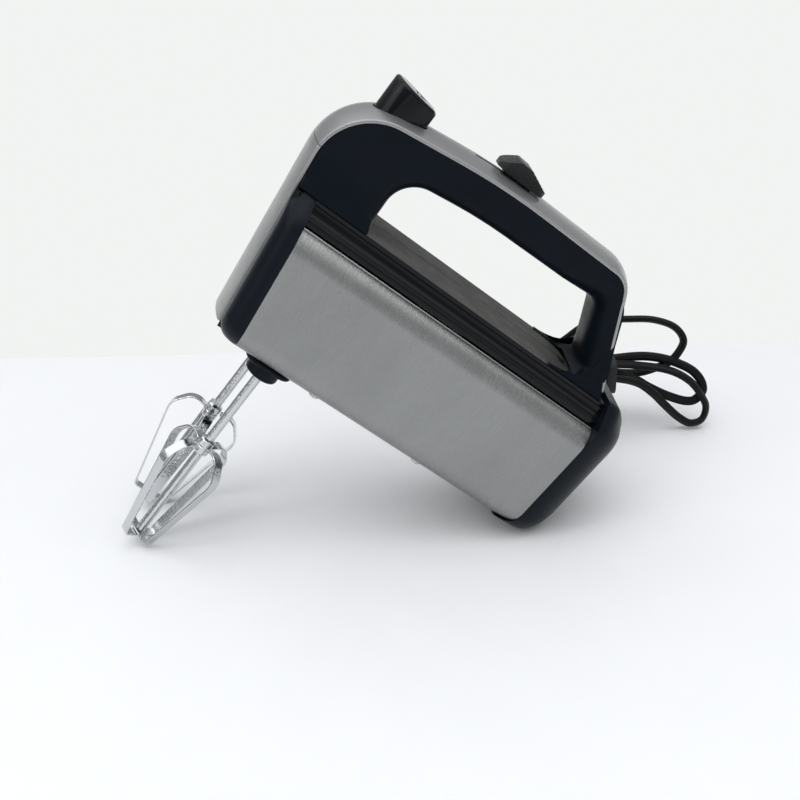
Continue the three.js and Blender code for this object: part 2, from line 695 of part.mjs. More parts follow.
// Pale liner that closes the slot from below, with a running slit for the slider's stem.
function slotLiner() {
  const half = STEM_WIDTH / 2 + RUNNING_CLEARANCE;
  const band = [...offsetLine(COVER_LINE, -1.9), ...offsetLine(COVER_LINE, -0.5).reverse()];
  const plate = sideProfile(band, -6, 6).intersect(box(SLOT[0] - 3, SLOT[1] + 3, -9, 9, 100, 150));
  return plate.subtract(box(...SLOT, -half, half, 100, 150));
}

// ---------------------------------------------------------------- drive

const WHEEL_RADIUS = Math.min(
  HALF_WIDTH - SLEEVE_SHEET - WHEEL_SIDE_CLEARANCE - SPINDLE_SPACING / 2,
  SPINDLE_SPACING / 2 - GAP - LEAST_WORM_RADIUS,
);
const WORM_RADIUS = SPINDLE_SPACING / 2 - WHEEL_RADIUS - GAP;
const FRAME_TOP = 13.4;
const FRAME_WALLS = [[-3, 0], [41, 44], [117, 120]];
const BUSH_RADIUS = 6;
const MOTOR_SHAFT_RADIUS = MOTOR_SHAFT_DIAMETER / 2;
const ARMATURE_RADIUS = 13;

function driveFrame() {
  const half = HALF_WIDTH - 5;
  const base = box(-3, 120, -half, half, FRAME_TOP - 3, FRAME_TOP);
  const walls = FRAME_WALLS.map(([x0, x1]) => box(x0, x1, -16, 16, FRAME_TOP - 1, WHEEL_HEIGHT + 12));
  const feet = FRAME_FEET.map(([x, y]) => rod(4, SLEEVE_SHEET + GAP, FRAME_TOP - 1, 12).translate([x, y, 0]));
  const shaftHole = along('x', rod(BUSH_RADIUS + GAP, -10, 130, 20)).translate([0, 0, WHEEL_HEIGHT]);
  const spindleHoles = spindleSides()
    .map(([, y]) => rod(SOCKET_HOLE, 5, 20, 20).translate([SPINDLE_X, y, 0]));
  const screwHoles = FRAME_FEET.map(([x, y]) => rod(SCREW_HOLE, -1, 10, 10).translate([x, y, 0]));
  return union([base, ...walls, ...feet]).subtract(union([shaftHole, ...spindleHoles, ...screwHoles]));
}

function shaftBush([x0, x1]) {
  const inner = MOTOR_SHAFT_RADIUS + GAP;
  return along('x', pipe(BUSH_RADIUS, inner, x0 - 1, x1 + 1, 20)).translate([0, 0, WHEEL_HEIGHT]);
}

function wormWheel(y) {
  const [tip, root] = [WHEEL_RADIUS, WHEEL_RADIUS - 1.5];
  const step = (2 * Math.PI) / WHEEL_TEETH;
  const outline = Array.from({ length: WHEEL_TEETH }, (_, k) => {
    return [[root, 0.06], [tip, 0.3], [tip, 0.6], [root, 0.84]].map(([radius, share]) => {
      const angle = (k + share) * step;
      return new THREE.Vector2(radius * Math.cos(angle), radius * Math.sin(angle));
    });
  }).flat();
  const half = WHEEL_THICKNESS / 2;
  const bore = rod(SPINDLE_RADIUS + GAP, -10, 10, 20);
  return plan(outline, -half, half).subtract(bore).translate([SPINDLE_X, y, WHEEL_HEIGHT]);
}

function driveSpindle(y) {
  return pipe(SPINDLE_RADIUS, SPINDLE_BORE, -7.5, WHEEL_HEIGHT + 16, 20).translate([SPINDLE_X, y, 0]);
}

// Motor shaft with a single-start worm cut on its front end: a round section that winds about the axis.
function motorShaft() {
  const shaft = along('x', rod(MOTOR_SHAFT_RADIUS, -4, 124, 16));
  const pitch = (2 * Math.PI * (WHEEL_RADIUS - 0.75)) / WHEEL_TEETH;
  const [front, rear, perTurn] = [8, 32, 6];
  const throwOut = 0.8;
  const count = Math.round(((rear - front) / pitch) * perTurn);
  const frames = Array.from({ length: count + 1 }, (_, k) => {
    const angle = (2 * Math.PI * k) / perTurn;
    const [y, z] = [throwOut * Math.cos(angle), throwOut * Math.sin(angle)];
    const at = new THREE.Vector3(front + (k * pitch) / perTurn, y, z);
    return { at, out: new THREE.Vector3(0, 0, 1), across: new THREE.Vector3(0, 1, 0) };
  });
  const section = circle(WORM_RADIUS - throwOut, 10).map((point) => [point.x, point.y]);
  return shaft.add(swept(frames, section)).translate([0, 0, WHEEL_HEIGHT]);
}

function slottedCore() {
  const [rim, floor] = [ARMATURE_RADIUS, ARMATURE_RADIUS - 4.5];
  const tooth = [[rim, 0.1], [rim, 0.5], [rim, 0.9], [floor, 0.93], [floor, 1.07]];
  const outline = Array.from({ length: 12 }, (_, k) => {
    return tooth.map(([radius, share]) => {
      const angle = ((k + share) * Math.PI) / 6;
      return new THREE.Vector2(radius * Math.cos(angle), radius * Math.sin(angle));
    });
  }).flat();
  const core = plan(outline, 66, 92).subtract(rod(MOTOR_SHAFT_RADIUS + GAP, 60, 100));
  return along('x', core).translate([0, 0, WHEEL_HEIGHT]);
}

function commutator() {
  return along('x', pipe(9, MOTOR_SHAFT_RADIUS + GAP, 97, 110, 20)).translate([0, 0, WHEEL_HEIGHT]);
}

function coolingFan() {
  const hub = pipe(7, MOTOR_SHAFT_RADIUS + GAP, 47, 57, 20);
  const disc = pipe(20, 6, 47, 48.5, 28);
  const blades = Array.from({ length: 10 }, (_, k) => {
    return box(6, 19, -0.7, 0.7, 48, 57).rotate([0, 0, k * 36]);
  });
  return along('x', union([hub, disc, ...blades])).translate([0, 0, WHEEL_HEIGHT]);
}

const STACK = [64, 94];

function stator() {
  const [half, height] = [25, 22];
  const outline = rectangle(-half, half, WHEEL_HEIGHT - height, WHEEL_HEIGHT + height, 6);
  const bore = along('x', rod(ARMATURE_RADIUS + 1, 50, 110, 28)).translate([0, 0, WHEEL_HEIGHT]);
  const windows = [-1, 1].map((side) => {
    const [a, b] = [WHEEL_HEIGHT + side * 9, WHEEL_HEIGHT + side * 18.5].sort((p, q) => p - q);
    return box(50, 110, -12, 12, a, b);
  });
  return crossSection(outline, ...STACK).subtract(union([bore, ...windows]));
}

function fieldCoil(side) {
  const [near, far] = [side * (ARMATURE_RADIUS + 1), side * 18.2];
  const [a, b] = [near, far].sort((p, q) => p - q);
  return box(STACK[0] - 5, STACK[1] + 2, -11.6, 11.6, WHEEL_HEIGHT + a, WHEEL_HEIGHT + b);
}

function brushHolder(side) {
  const [y0, y1] = [side * 9.4, side * 24].sort((p, q) => p - q);
  return box(100, 108, y0, y1, WHEEL_HEIGHT - 4, WHEEL_HEIGHT + 4);
}

// Screw along Z with its head's underside at height 0, pointing up.
function screw(length, headRadius = 2.9) {
  return turned([[0, -1.8], [headRadius - 0.6, -1.8], [headRadius, -1.2], [headRadius, 0],
    [SCREW_RADIUS, 0], [SCREW_RADIUS, length], [0, length + 1]], 12);
}

// Rubber boot on the rear cap's far flank: inner flange, neck through the wall, tapered sleeve.
function strainRelief() {
  const wall = HALF_WIDTH + 0.5;
  return along('y', turned([
    [0, wall - 12.5], [6, wall - 12.5], [6, wall - 10], [BOOT_NECK, wall - 10], [BOOT_NECK, wall],
    [5.6, wall], [5.6, wall + 3], [3.5, wall + BOOT_LENGTH], [0, wall + BOOT_LENGTH],
  ], 16)).translate([CORD_EXIT.x, 0, CORD_EXIT.z]);
}

// ---------------------------------------------------------------- beaters

const COLLAR_RADIUS = SHAFT_RADIUS + 1.6;

// Bent strip of a beater: out from the shaft, down to the foot and across under the shaft's tip, then
// up the other side.
function beaterStrip(turn, drop) {
  const root = COLLAR_RADIUS + 2 * GAP;
  const foot = -SHAFT_REACH - 1.2 - drop;
  const half = [
    [root, -CAGE_TOP - drop],
    [CAGE_RADIUS * 0.62, -CAGE_TOP + 2.5 - drop, 8],
    [CAGE_RADIUS + 0.8, -CAGE_TOP - 9, 9],
    [CAGE_FOOT_RADIUS, foot, 2.2],
  ];
  const mirrored = half.map(([radius, z, bend]) => [-radius, z, bend]).reverse();
  const line = rounded([...half, ...mirrored], false);
  const frames = line.map((point, i) => {
    const tangent = line[Math.min(i + 1, line.length - 1)].clone().sub(line[Math.max(i - 1, 0)]).normalize();
    return {
      at: new THREE.Vector3(point.x, 0, point.y),
      out: new THREE.Vector3(-tangent.y, 0, tangent.x),
      across: new THREE.Vector3(0, 1, 0),
    };
  });
  const section = rectangle(-STRIP_WIDTH / 2, STRIP_WIDTH / 2, -STRIP_SHEET / 2, STRIP_SHEET / 2);
  return swept(frames, section.map((point) => [point.x, point.y])).rotate([0, 0, turn]);
}

function beaterShaft() {
  return turned([
    [0, -SHAFT_REACH], [SHAFT_RADIUS, -SHAFT_REACH], [SHAFT_RADIUS, -CAGE_TOP - 5],
    [COLLAR_RADIUS, -CAGE_TOP - 4.5], [COLLAR_RADIUS, -CAGE_TOP + 3.5], [SHAFT_RADIUS, -CAGE_TOP + 4],
    [SHAFT_RADIUS, SHAFT_SEAT - 1], [SHAFT_RADIUS - 0.8, SHAFT_SEAT], [0, SHAFT_SEAT],
  ], 16);
}

function beater(name, y, turn) {
  const place = (solid) => solid.translate([SPINDLE_X, y, 0]);
  const clearance = STRIP_SHEET + GAP;
  piece(`${name}_beater_shaft`, place(beaterShaft()), chrome);
  piece(`${name}_beater_strip_a`, place(beaterStrip(-turn, 0)), chrome);
  piece(`${name}_beater_strip_b`, place(beaterStrip(90 - turn, clearance)), chrome);
}

// ---------------------------------------------------------------- mixer

piece('front_bezel', frontBezel(), navyPlastic);
piece('steel_sleeve', steelSleeve(), brushedSteel);
piece('near_trim_rail', trimRail(-1), glossBlack);
piece('far_trim_rail', trimRail(1), glossBlack);
piece('top_cover', topCover(), darkGrey);
piece('rear_cap', rearCap(), navyPlastic);
piece('socket_flange', socketFlange(), navyPlastic);
piece('front_channel', frontChannel(), glossBlack);
piece('front_panel', frontPanel(), silverPaint);
piece('handle_frame', handleFrame(), navyPlastic);
piece('handle_cover', handleCover(), silverPaint);
piece('slot_liner', slotLiner(), paleGrey);
piece('speed_slider', speedSlider(), glossBlack);
piece('speed_switch', speedSwitch(), phenolic);
piece('eject_button', ejectButton(), glossBlack);
piece('eject_yoke', ejectYoke(), nylon);
piece('eject_spring', ejectSpring(), machinedSteel);

piece('drive_frame', driveFrame(), nylon);
piece('front_bush', shaftBush(FRAME_WALLS[0]), machinedSteel);
piece('rear_bush', shaftBush(FRAME_WALLS[2]), machinedSteel);
piece('motor_shaft', motorShaft(), machinedSteel);
piece('armature_core', slottedCore(), machinedSteel);
piece('commutator', commutator(), copper);
piece('cooling_fan', coolingFan(), nylon);
piece('stator', stator(), machinedSteel);
piece('upper_field_coil', fieldCoil(1), copper);
piece('lower_field_coil', fieldCoil(-1), copper);
piece('near_brush_holder', brushHolder(-1), carbon);
piece('far_brush_holder', brushHolder(1), carbon);

for (const [name, y] of spindleSides()) {
  piece(`${name}_spindle`, driveSpindle(y), machinedSteel);
  piece(`${name}_worm_wheel`, wormWheel(y), nylon);
}
beater('near', -SPINDLE_SPACING / 2, NEAR_BEATER_TURN);
beater('far', SPINDLE_SPACING / 2, FAR_BEATER_TURN);

FRAME_FEET.forEach(([x, y], i) => {
  piece(`base_screw_${i + 1}`, screw(9).translate([x, y, -GAP]), machinedSteel);
});
HANDLE_SCREWS.forEach(([x, y], i) => {
  piece(`handle_screw_${i + 1}`, screw(6.5).translate([x, y, DECK_HEIGHT - 2.2 - GAP]), machinedSteel);
});
CAP_SCREWS.forEach(([y, z], i) => {
  const place = [HEEL_X - 4 + GAP, y, z];
  piece(`cap_screw_${i + 1}`, along('x', screw(12).mirror([0, 0, 1])).translate(place), machinedSteel);
});

// Lean: the beater tips and the heel touch one plane.
function lowestAt(nodes, lean) {
  let lowest = Infinity;
  for (const node of nodes) {
    const position = node.geometry.attributes.position;
    for (let i = 0; i < position.count; i++) {
      const height = position.getZ(i) * Math.cos(lean) - position.getX(i) * Math.sin(lean);
      lowest = Math.min(lowest, height);
    }
  }
  return lowest;
}

function restingLean() {
  const beaters = mixer.children.filter((node) => node.name.includes('_beater_'));
  const heel = mixer.children.filter((node) => node.name === 'rear_cap');
  let [low, high] = [0.1, 1.2];
  for (let i = 0; i < 40; i++) {
    const lean = (low + high) / 2;
    if (lowestAt(beaters, lean) < lowestAt(heel, lean)) low = lean;
    else high = lean;
  }
  return (low + high) / 2;
}

mixer.rotation.y = restingLean();
const assembly = new THREE.Group();
assembly.add(mixer);
assembly.updateMatrixWorld(true);
const bounds = new THREE.Box3().setFromObject(mixer, true);
mixer.position.set(
  -(bounds.min.x + bounds.max.x) / 2, -(bounds.min.y + bounds.max.y) / 2, -bounds.min.z);

// ---------------------------------------------------------------- lead

// Route of the lead's centre line, from the boot's end to the plug: a short run down, three loops
// that fan out past the heel, the folds between them, and the plug's end. All but the fans lie
// behind the body.
const CORD_ROUTE = [
  [104.4, 61.7, 42.6], [104.4, 76, 41], [101, 89, 32], [89, 98, 24],
  [73, 98, 18], [59, 90, 15], [55, 78, 16], [67, 71, 20],
  [89, 76, 27], [119, 79, 36], [143, 80, 41], [164.6, 82, 38.4],
  [177.3, 80, 36.5], [184.6, 78, 34.2], [193.1, 77, 28.3], [199.2, 76, 20.2],
  [202.5, 75, 13], [200, 73, 5.5], [192.9, 72, 4], [185.5, 72, 8.3],
  [176.4, 72, 17.1], [168.8, 72, 25], [159.6, 73, 31.6], [143, 74, 35],
  [124, 71, 33], [94, 66, 22], [64, 65, 13], [43, 76, 10],
  [36, 94, 10], [49, 112, 13], [79, 113, 22], [114, 98, 34],
  [143, 87, 41.3], [166.4, 90, 41], [178.6, 88, 39.6], [186.6, 86, 37.2],
  [195.5, 84, 32.5], [200.4, 82, 26.4], [201.1, 80, 21.2], [196.4, 79, 15.8],
  [191.6, 79, 15.3], [179.4, 79, 19.6], [168.5, 79, 25.4], [157.9, 80, 31.5],
  [143, 81, 34.5], [122, 84, 27], [99, 88, 13], [77, 84, 4],
  [59, 92, 3.4], [51, 108, 3.4], [59, 125, 6], [77, 130, 16],
  [99, 121, 33], [117.9, 108, 43.6], [132.6, 104, 56.1], [145.2, 101, 60.5],
  [157.9, 98, 62], [172.6, 94, 62.4], [184.6, 91, 58.1], [189.5, 89, 50.6],
  [186.6, 88, 43], [181.6, 88, 37.2], [173.6, 88, 33.8], [163.4, 88, 31.2],
  [143, 88, 32.2], [128, 92, 26.5], [113, 104, 13], [104, 120, 7.4],
  [98, 134, 7.4], [90, 143, 7.4], [82, 146.5, 7.6], [72, 147, 7.6],
].map(([x, y, z]) => new THREE.Vector3(x, y, z));
const CORD_STEPS = 80;

function cordTube() {
  const extrudePath = new THREE.CatmullRomCurve3(CORD_ROUTE, false, 'centripetal');
  const section = new THREE.Shape(circle(CORD_DIAMETER / 2, 8));
  return solidOf(new THREE.ExtrudeGeometry(section, { steps: CORD_STEPS, bevelEnabled: false, extrudePath }));
}

const TIE = { x: 143, y: [70.2, 92.2], z: [27.4, 45.4], width: 6, band: 1.6 };

function cordTie() {
  const [[y0, y1], [z0, z1], band] = [TIE.y, TIE.z, TIE.band];
  const [x0, x1] = [TIE.x - TIE.width / 2, TIE.x + TIE.width / 2];
  const outside = crossSection(rectangle(y0 - band, y1 + band, z0 - band, z1 + band, 5), x0, x1);
  return outside.subtract(crossSection(rectangle(y0, y1, z0, z1, 3.4), x0 - 1, x1 + 1));
}

// Flat two-pin plug, lying on its side: cord end at +X, pins towards -X.
const PLUG = { length: 36, width: 26, thickness: 13.7, pinLength: 19, pinRadius: 2, pinSpacing: 18.6 };
const PLUG_PLACE = CORD_ROUTE.at(-1).clone().add(new THREE.Vector3(-GAP, 0, 0));

function plugBody() {
  const { length, width, thickness } = PLUG;
  const outline = plan(rounded([
    [0, -4.5, 3], [0, 4.5, 3], [-12, 7.5, 10], [-20, width / 2, 8], [-length, width / 2, 2],
    [-length, -width / 2, 2], [-20, -width / 2, 8], [-12, -7.5, 10],
  ].reverse()), -thickness / 2, thickness / 2);
  const profile = sideProfile(rounded([
    [0, -3.4], [0, 3.4], [-16, thickness / 2, 12], [-length, thickness / 2], [-length, -thickness / 2],
    [-16, -thickness / 2, 12],
  ].reverse()), -width, width);
  return outline.intersect(profile).translate(PLUG_PLACE.toArray());
}

function plugPin(side) {
  const { length, pinLength, pinRadius, pinSpacing } = PLUG;
  const pin = along('x', turned([[0, -pinLength], [pinRadius - 1, -pinLength], [pinRadius, -pinLength + 2],
    [pinRadius, 0], [0, 0]], 12));
  return pin.translate([-length - GAP, (side * pinSpacing) / 2, 0]).translate(PLUG_PLACE.toArray());
}

piece('strain_relief', strainRelief(), cordBlack);
piece('cord', cordTube(), cordBlack, assembly);
piece('cord_tie', cordTie(), cordBlack, assembly);
piece('plug_body', plugBody(), cordBlack, assembly);
piece('plug_pin_1', plugPin(-1), chrome, assembly);
piece('plug_pin_2', plugPin(1), chrome, assembly);

export default assembly;
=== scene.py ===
"""Hand mixer, leaning on its beater tips and heel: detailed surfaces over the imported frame."""

import json
import math

import bmesh
import bpy
from mathutils import Matrix, Vector


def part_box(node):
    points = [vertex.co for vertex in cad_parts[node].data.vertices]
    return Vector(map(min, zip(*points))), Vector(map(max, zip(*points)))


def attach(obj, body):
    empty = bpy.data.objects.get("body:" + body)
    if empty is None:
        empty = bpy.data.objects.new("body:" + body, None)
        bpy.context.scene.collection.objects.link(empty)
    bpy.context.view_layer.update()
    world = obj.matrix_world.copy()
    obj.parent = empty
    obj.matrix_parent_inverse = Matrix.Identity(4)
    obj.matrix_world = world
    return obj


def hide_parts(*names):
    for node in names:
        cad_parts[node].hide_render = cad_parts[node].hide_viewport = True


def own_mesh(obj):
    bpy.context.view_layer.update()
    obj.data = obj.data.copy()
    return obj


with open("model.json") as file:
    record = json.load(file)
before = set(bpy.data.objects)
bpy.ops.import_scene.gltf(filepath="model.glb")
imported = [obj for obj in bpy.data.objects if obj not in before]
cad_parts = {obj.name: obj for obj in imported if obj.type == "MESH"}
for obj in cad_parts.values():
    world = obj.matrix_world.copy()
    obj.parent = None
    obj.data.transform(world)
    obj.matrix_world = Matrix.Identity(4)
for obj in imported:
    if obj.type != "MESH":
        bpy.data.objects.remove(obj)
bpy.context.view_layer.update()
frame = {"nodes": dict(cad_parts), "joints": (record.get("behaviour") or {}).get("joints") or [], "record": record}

# ---------------------------------------------------------------- sizes, in millimetres

GAP = 0.3
BODY_LENGTH = 165
BODY_WIDTH = 76
BODY_HEIGHT = 66.5
BODY_CORNER = 12
SLEEVE_SHEET = 0.9
SLEEVE_LIP = 9
SLEEVE_REAR_RADIUS = 8
NOSE_LEAN = 0.108
SHELL_WALL = 2.2
DECK_HEIGHT = 77.5
DECK_INSET = 14
BEZEL_DEPTH = 11
BEZEL_CORNER = 10.5
FRONT_RECESS = 3
RECESS_FOOT = 1.6
CHANNEL_RIM = 25.5
REAR_CAP_DEPTH = 22
REAR_CAP_CORNER = 24
HEEL_RADIUS = 17
REAR_CAP_DROP = 1.6
REAR_CAP_HEIGHT = 80.5
COVER_WIDTH = 37
COVER_CROWN = 2.6
COVER_SHEET = 1.8
COVER_FLANK = 1.7
COVER_TOP = 132.2
NOSE_TOP = 121
COVER_STANDOFF = 11.6
COVER_NOSE_RADIUS = 30
COVER_HEEL_RADIUS = 14
COVER_SPLIT_HEIGHT = 97
GRIP_DEPTH = 17
FRONT_POST_DEPTH = 38
REAR_POST_DEPTH = 15
OPENING_FRONT_RADIUS = 15
OPENING_REAR_RADIUS = 8
SPINDLE_X = 20
SPINDLE_SPACING = 38
SHAFT_DIAMETER = 4.8
SHAFT_REACH = 117.5
SHAFT_SEAT = 30
CAGE_RADIUS = 19.5
CAGE_FOOT_RADIUS = 9.5
CAGE_TOP = 57
STRIP_WIDTH = 5
STRIP_SHEET = 0.9
NEAR_BEATER_TURN = 50
FAR_BEATER_TURN = 5
BUTTON_FOOT = 112
EJECT_ROD_X = 2
SLIDER_REAR = 78
SLIDER_LENGTH = 26.5
CORD_DIAMETER = 5.4
BOOT_LENGTH = 23.5

HALF_WIDTH = BODY_WIDTH / 2
DECK_HALF = HALF_WIDTH - DECK_INSET
HEEL_X = BODY_LENGTH + REAR_CAP_DEPTH
SLEEVE_LIP_EDGE = HALF_WIDTH - SLEEVE_LIP
CROWN_TOP = COVER_TOP + COVER_CROWN

# ---------------------------------------------------------------- the mixer's own axes

joints = {joint["name"]: joint for joint in frame["joints"]}
aft = Vector(joints["motor_spin"]["axis"])
up = Vector(joints["near_spindle_spin"]["axis"])
sockets = (Vector(joints["near_spindle_spin"]["pos_m"]) + Vector(joints["far_spindle_spin"]["pos_m"])) / 2
lean = Matrix((aft, up.cross(aft), up)).transposed().to_4x4()
MIXER = Matrix.Translation(sockets - aft * SPINDLE_X * 0.001) @ lean @ Matrix.Scale(0.001, 4)
WORLD = Matrix.Scale(0.001, 4)

# ---------------------------------------------------------------- camera

camera = bpy.data.objects.new("camera", bpy.data.cameras.new("camera"))
bpy.context.scene.collection.objects.link(camera)
bpy.context.scene.camera = camera
camera.data.sensor_width = 36
camera.data.lens = 36 * 1100 / 800
camera.data.clip_start = 0.01
eye = Vector((-0.00483, -0.50059, 0.31536))
aim = Vector((0.0165, 0, 0.06418))
facing = (aim - eye).to_track_quat("-Z", "Y").to_matrix().to_4x4()
camera.matrix_world = Matrix.Translation(eye) @ facing @ Matrix.Rotation(math.radians(-1.48), 4, "Z")

# ---------------------------------------------------------------- outlines


def corner_arc(before, here, after, radius, step):
    back = (before - here).normalized()
    on = (after - here).normalized()
    half = math.acos(max(-1, min(1, back.dot(on)))) / 2
    centre = here + (back + on).normalized() * radius / math.sin(half)
    start = here + back * radius / math.tan(half) - centre
    end = here + on * radius / math.tan(half) - centre
    turn = math.atan2(start.x * end.y - start.y * end.x, start.dot(end))
    count = max(3, round(abs(turn) / math.radians(step)))
    points = []
    for k in range(count + 1):
        angle = turn * k / count
        c, s = math.cos(angle), math.sin(angle)
        points.append(Vector((c * start.x - s * start.y, s * start.x + c * start.y)) + centre)
    return points


def rounded(corners, closed=True, step=6):
    """Corner-rounded outline. Each corner is (a, b) or (a, b, radius)."""
    points = []
    count = len(corners)
    for i, corner in enumerate(corners):
        here = Vector(corner[:2])
        radius = corner[2] if len(corner) > 2 else 0
        is_end = not closed and i in (0, count - 1)
        if radius == 0 or is_end:
            points.append(here)
        else:
            before, after = Vector(corners[i - 1][:2]), Vector(corners[(i + 1) % count][:2])
            points += corner_arc(before, here, after, radius, step)
    return points


def rectangle(a0, a1, b0, b1, radius=0, step=6):
    return rounded([(a0, b0, radius), (a1, b0, radius), (a1, b1, radius), (a0, b1, radius)], step=step)


def resampled(line, count):
    """The same line with evenly spaced points."""
    lengths = [0]
    for a, b in zip(line, line[1:]):
        lengths.append(lengths[-1] + (b - a).length)
    points, at = [], 0
    for k in range(count):
        want = lengths[-1] * k / (count - 1)
        while at < len(line) - 2 and lengths[at + 1] < want:
            at += 1
        span = lengths[at + 1] - lengths[at]
        points.append(line[at].lerp(line[at + 1], (want - lengths[at]) / span if span else 0))
    return points


def tangents(line):
    last = len(line) - 1
    return [(line[min(i + 1, last)] - line[max(i - 1, 0)]).normalized() for i in range(len(line))]


def offset(line, distance):
    return [p + Vector((-t.y, t.x)) * distance for p, t in zip(line, tangents(line))]


# ---------------------------------------------------------------- meshes


def loft(rings, closed=True, capped=True, banded=False):
    """Rings of equal count joined into a surface. A banded ring is one line there and an equal one back."""
    count = len(rings[0])
    verts = [tuple(point) for ring in rings for point in ring]
    faces = []
    for r in range(len(rings) - 1):
        for k in range(count if closed else count - 1):
            a, b = r * count + k, r * count + (k + 1) % count
            faces.append((a, b, b + count, a + count))
    last = (len(rings) - 1) * count
    if banded:
        for start, turn in ((0, -1), (last, 1)):
            for k in range(count // 2 - 1):
                quad = (start + k, start + k + 1, start + count - 2 - k, start + count - 1 - k)
                faces.append(quad[::turn])
    elif capped:
        faces.append(tuple(range(count - 1, -1, -1)))
        faces.append(tuple(range(last, last + count)))
    return verts, faces


def side_profile(points, y0, y1):
    return loft([[(p[0], y, p[1]) for p in points] for y in (y0, y1)])


def cross_section(points, x0, x1):
    return loft([[(x, p[0], p[1]) for p in points] for x in (x0, x1)])


def plan(points, z0, z1):
    return loft([[(p[0], p[1], z) for p in points] for z in (z0, z1)])


def turned(profile, sides=40, closed=False):
    """Turned about Z. Profile points are (radius, height); an open profile starts and ends on the axis."""
    rings = []
    for k in range(sides):
        angle = 2 * math.pi * k / sides
        rings.append([(r * math.cos(angle), r * math.sin(angle), z) for r, z in profile])
    count = len(profile)
    verts = [p for ring in rings for p in ring]
    faces = []
    for k in range(sides):
        a, b = k * count, ((k + 1) % sides) * count
        for i in range(count if closed else count - 1):
            j = (i + 1) % count
            faces.append((a + i, b + i, b + j, a + j))
    return verts, faces


def swept(line, section, across=Vector((0, 1, 0))):
    """Section (across, out) swept along a side line (x, z)."""
    rings = []
    for point, tangent in zip(line, tangents(line)):
        out = Vector((-tangent.y, 0, tangent.x))
        at = Vector((point.x, 0, point.y))
        rings.append([at + across * a + out * b for a, b in section])
    return loft(rings)


def moved(shape, matrix):
    verts, faces = shape
    return [tuple(matrix @ Vector(v)) for v in verts], faces


def circle(x, y, radius, sides=32):
    turn = 2 * math.pi / sides
    return [(radius * math.cos(k * turn) + x, radius * math.sin(k * turn) + y) for k in range(sides)]


def make(name, shape, matrix=MIXER):
    """A mesh object whose own units are millimetres."""
    mesh = bpy.data.meshes.new(name)
    mesh.from_pydata(shape[0], [], shape[1])
    grid = bmesh.new()
    grid.from_mesh(mesh)
    bmesh.ops.remove_doubles(grid, verts=grid.verts, dist=1e-4)
    bmesh.ops.recalc_face_normals(grid, faces=grid.faces)
    grid.to_mesh(mesh)
    grid.free()
    piece = bpy.data.objects.new(name, mesh)
    bpy.context.scene.collection.objects.link(piece)
    piece.matrix_world = matrix
    return piece


def applied(piece):
    bpy.context.view_layer.update()
    graph = bpy.context.evaluated_depsgraph_get()
    mesh = bpy.data.meshes.new_from_object(piece.evaluated_get(graph))
    piece.modifiers.clear()
    piece.data = mesh
    return piece


def combined(piece, shape, operation="DIFFERENCE"):
    """Cuts, joins or intersects a piece with a closed shape of the same axes."""
    return joined(piece, make("tool", shape, piece.matrix_world), operation)


def joined(piece, tool, operation="DIFFERENCE"):
    """The same with another piece as the tool, which is used up."""
    cut = piece.modifiers.new("cut", "BOOLEAN")
    cut.operation = operation
    cut.solver = "EXACT"
    cut.object = tool
    applied(piece)
    bpy.data.objects.remove(tool)
    return piece


def bevelled(piece, width, segments=3, angle=32):
    bevel = piece.modifiers.new("bevel", "BEVEL")
    bevel.width = width
    bevel.segments = segments
    bevel.limit_method = "ANGLE"
    bevel.angle_limit = math.radians(angle)
    bevel.miter_outer = "MITER_ARC"
    return applied(piece)


def finished(piece, body, material, stands_for=(), sharp=38):
    """Smooths a piece, gives it its material and joins it to its body.

    Its place in millimetres goes with it, for the textures.
    """
    place = piece.data.attributes.new("place", "FLOAT_VECTOR", "POINT")
    place.data.foreach_set("vector", [c for vertex in piece.data.vertices for c in vertex.co])
    if piece.matrix_world.to_euler().to_matrix() != Matrix.Identity(3):
        piece.data.transform(piece.matrix_world)
        piece.matrix_world = Matrix.Identity(4)
    piece.data.shade_smooth()
    piece.data.set_sharp_from_angle(angle=math.radians(sharp))
    piece.data.materials.clear()
    piece.data.materials.append(material)
    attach(piece, body)
    if stands_for:
        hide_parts(*stands_for)
    return piece


# ---------------------------------------------------------------- materials


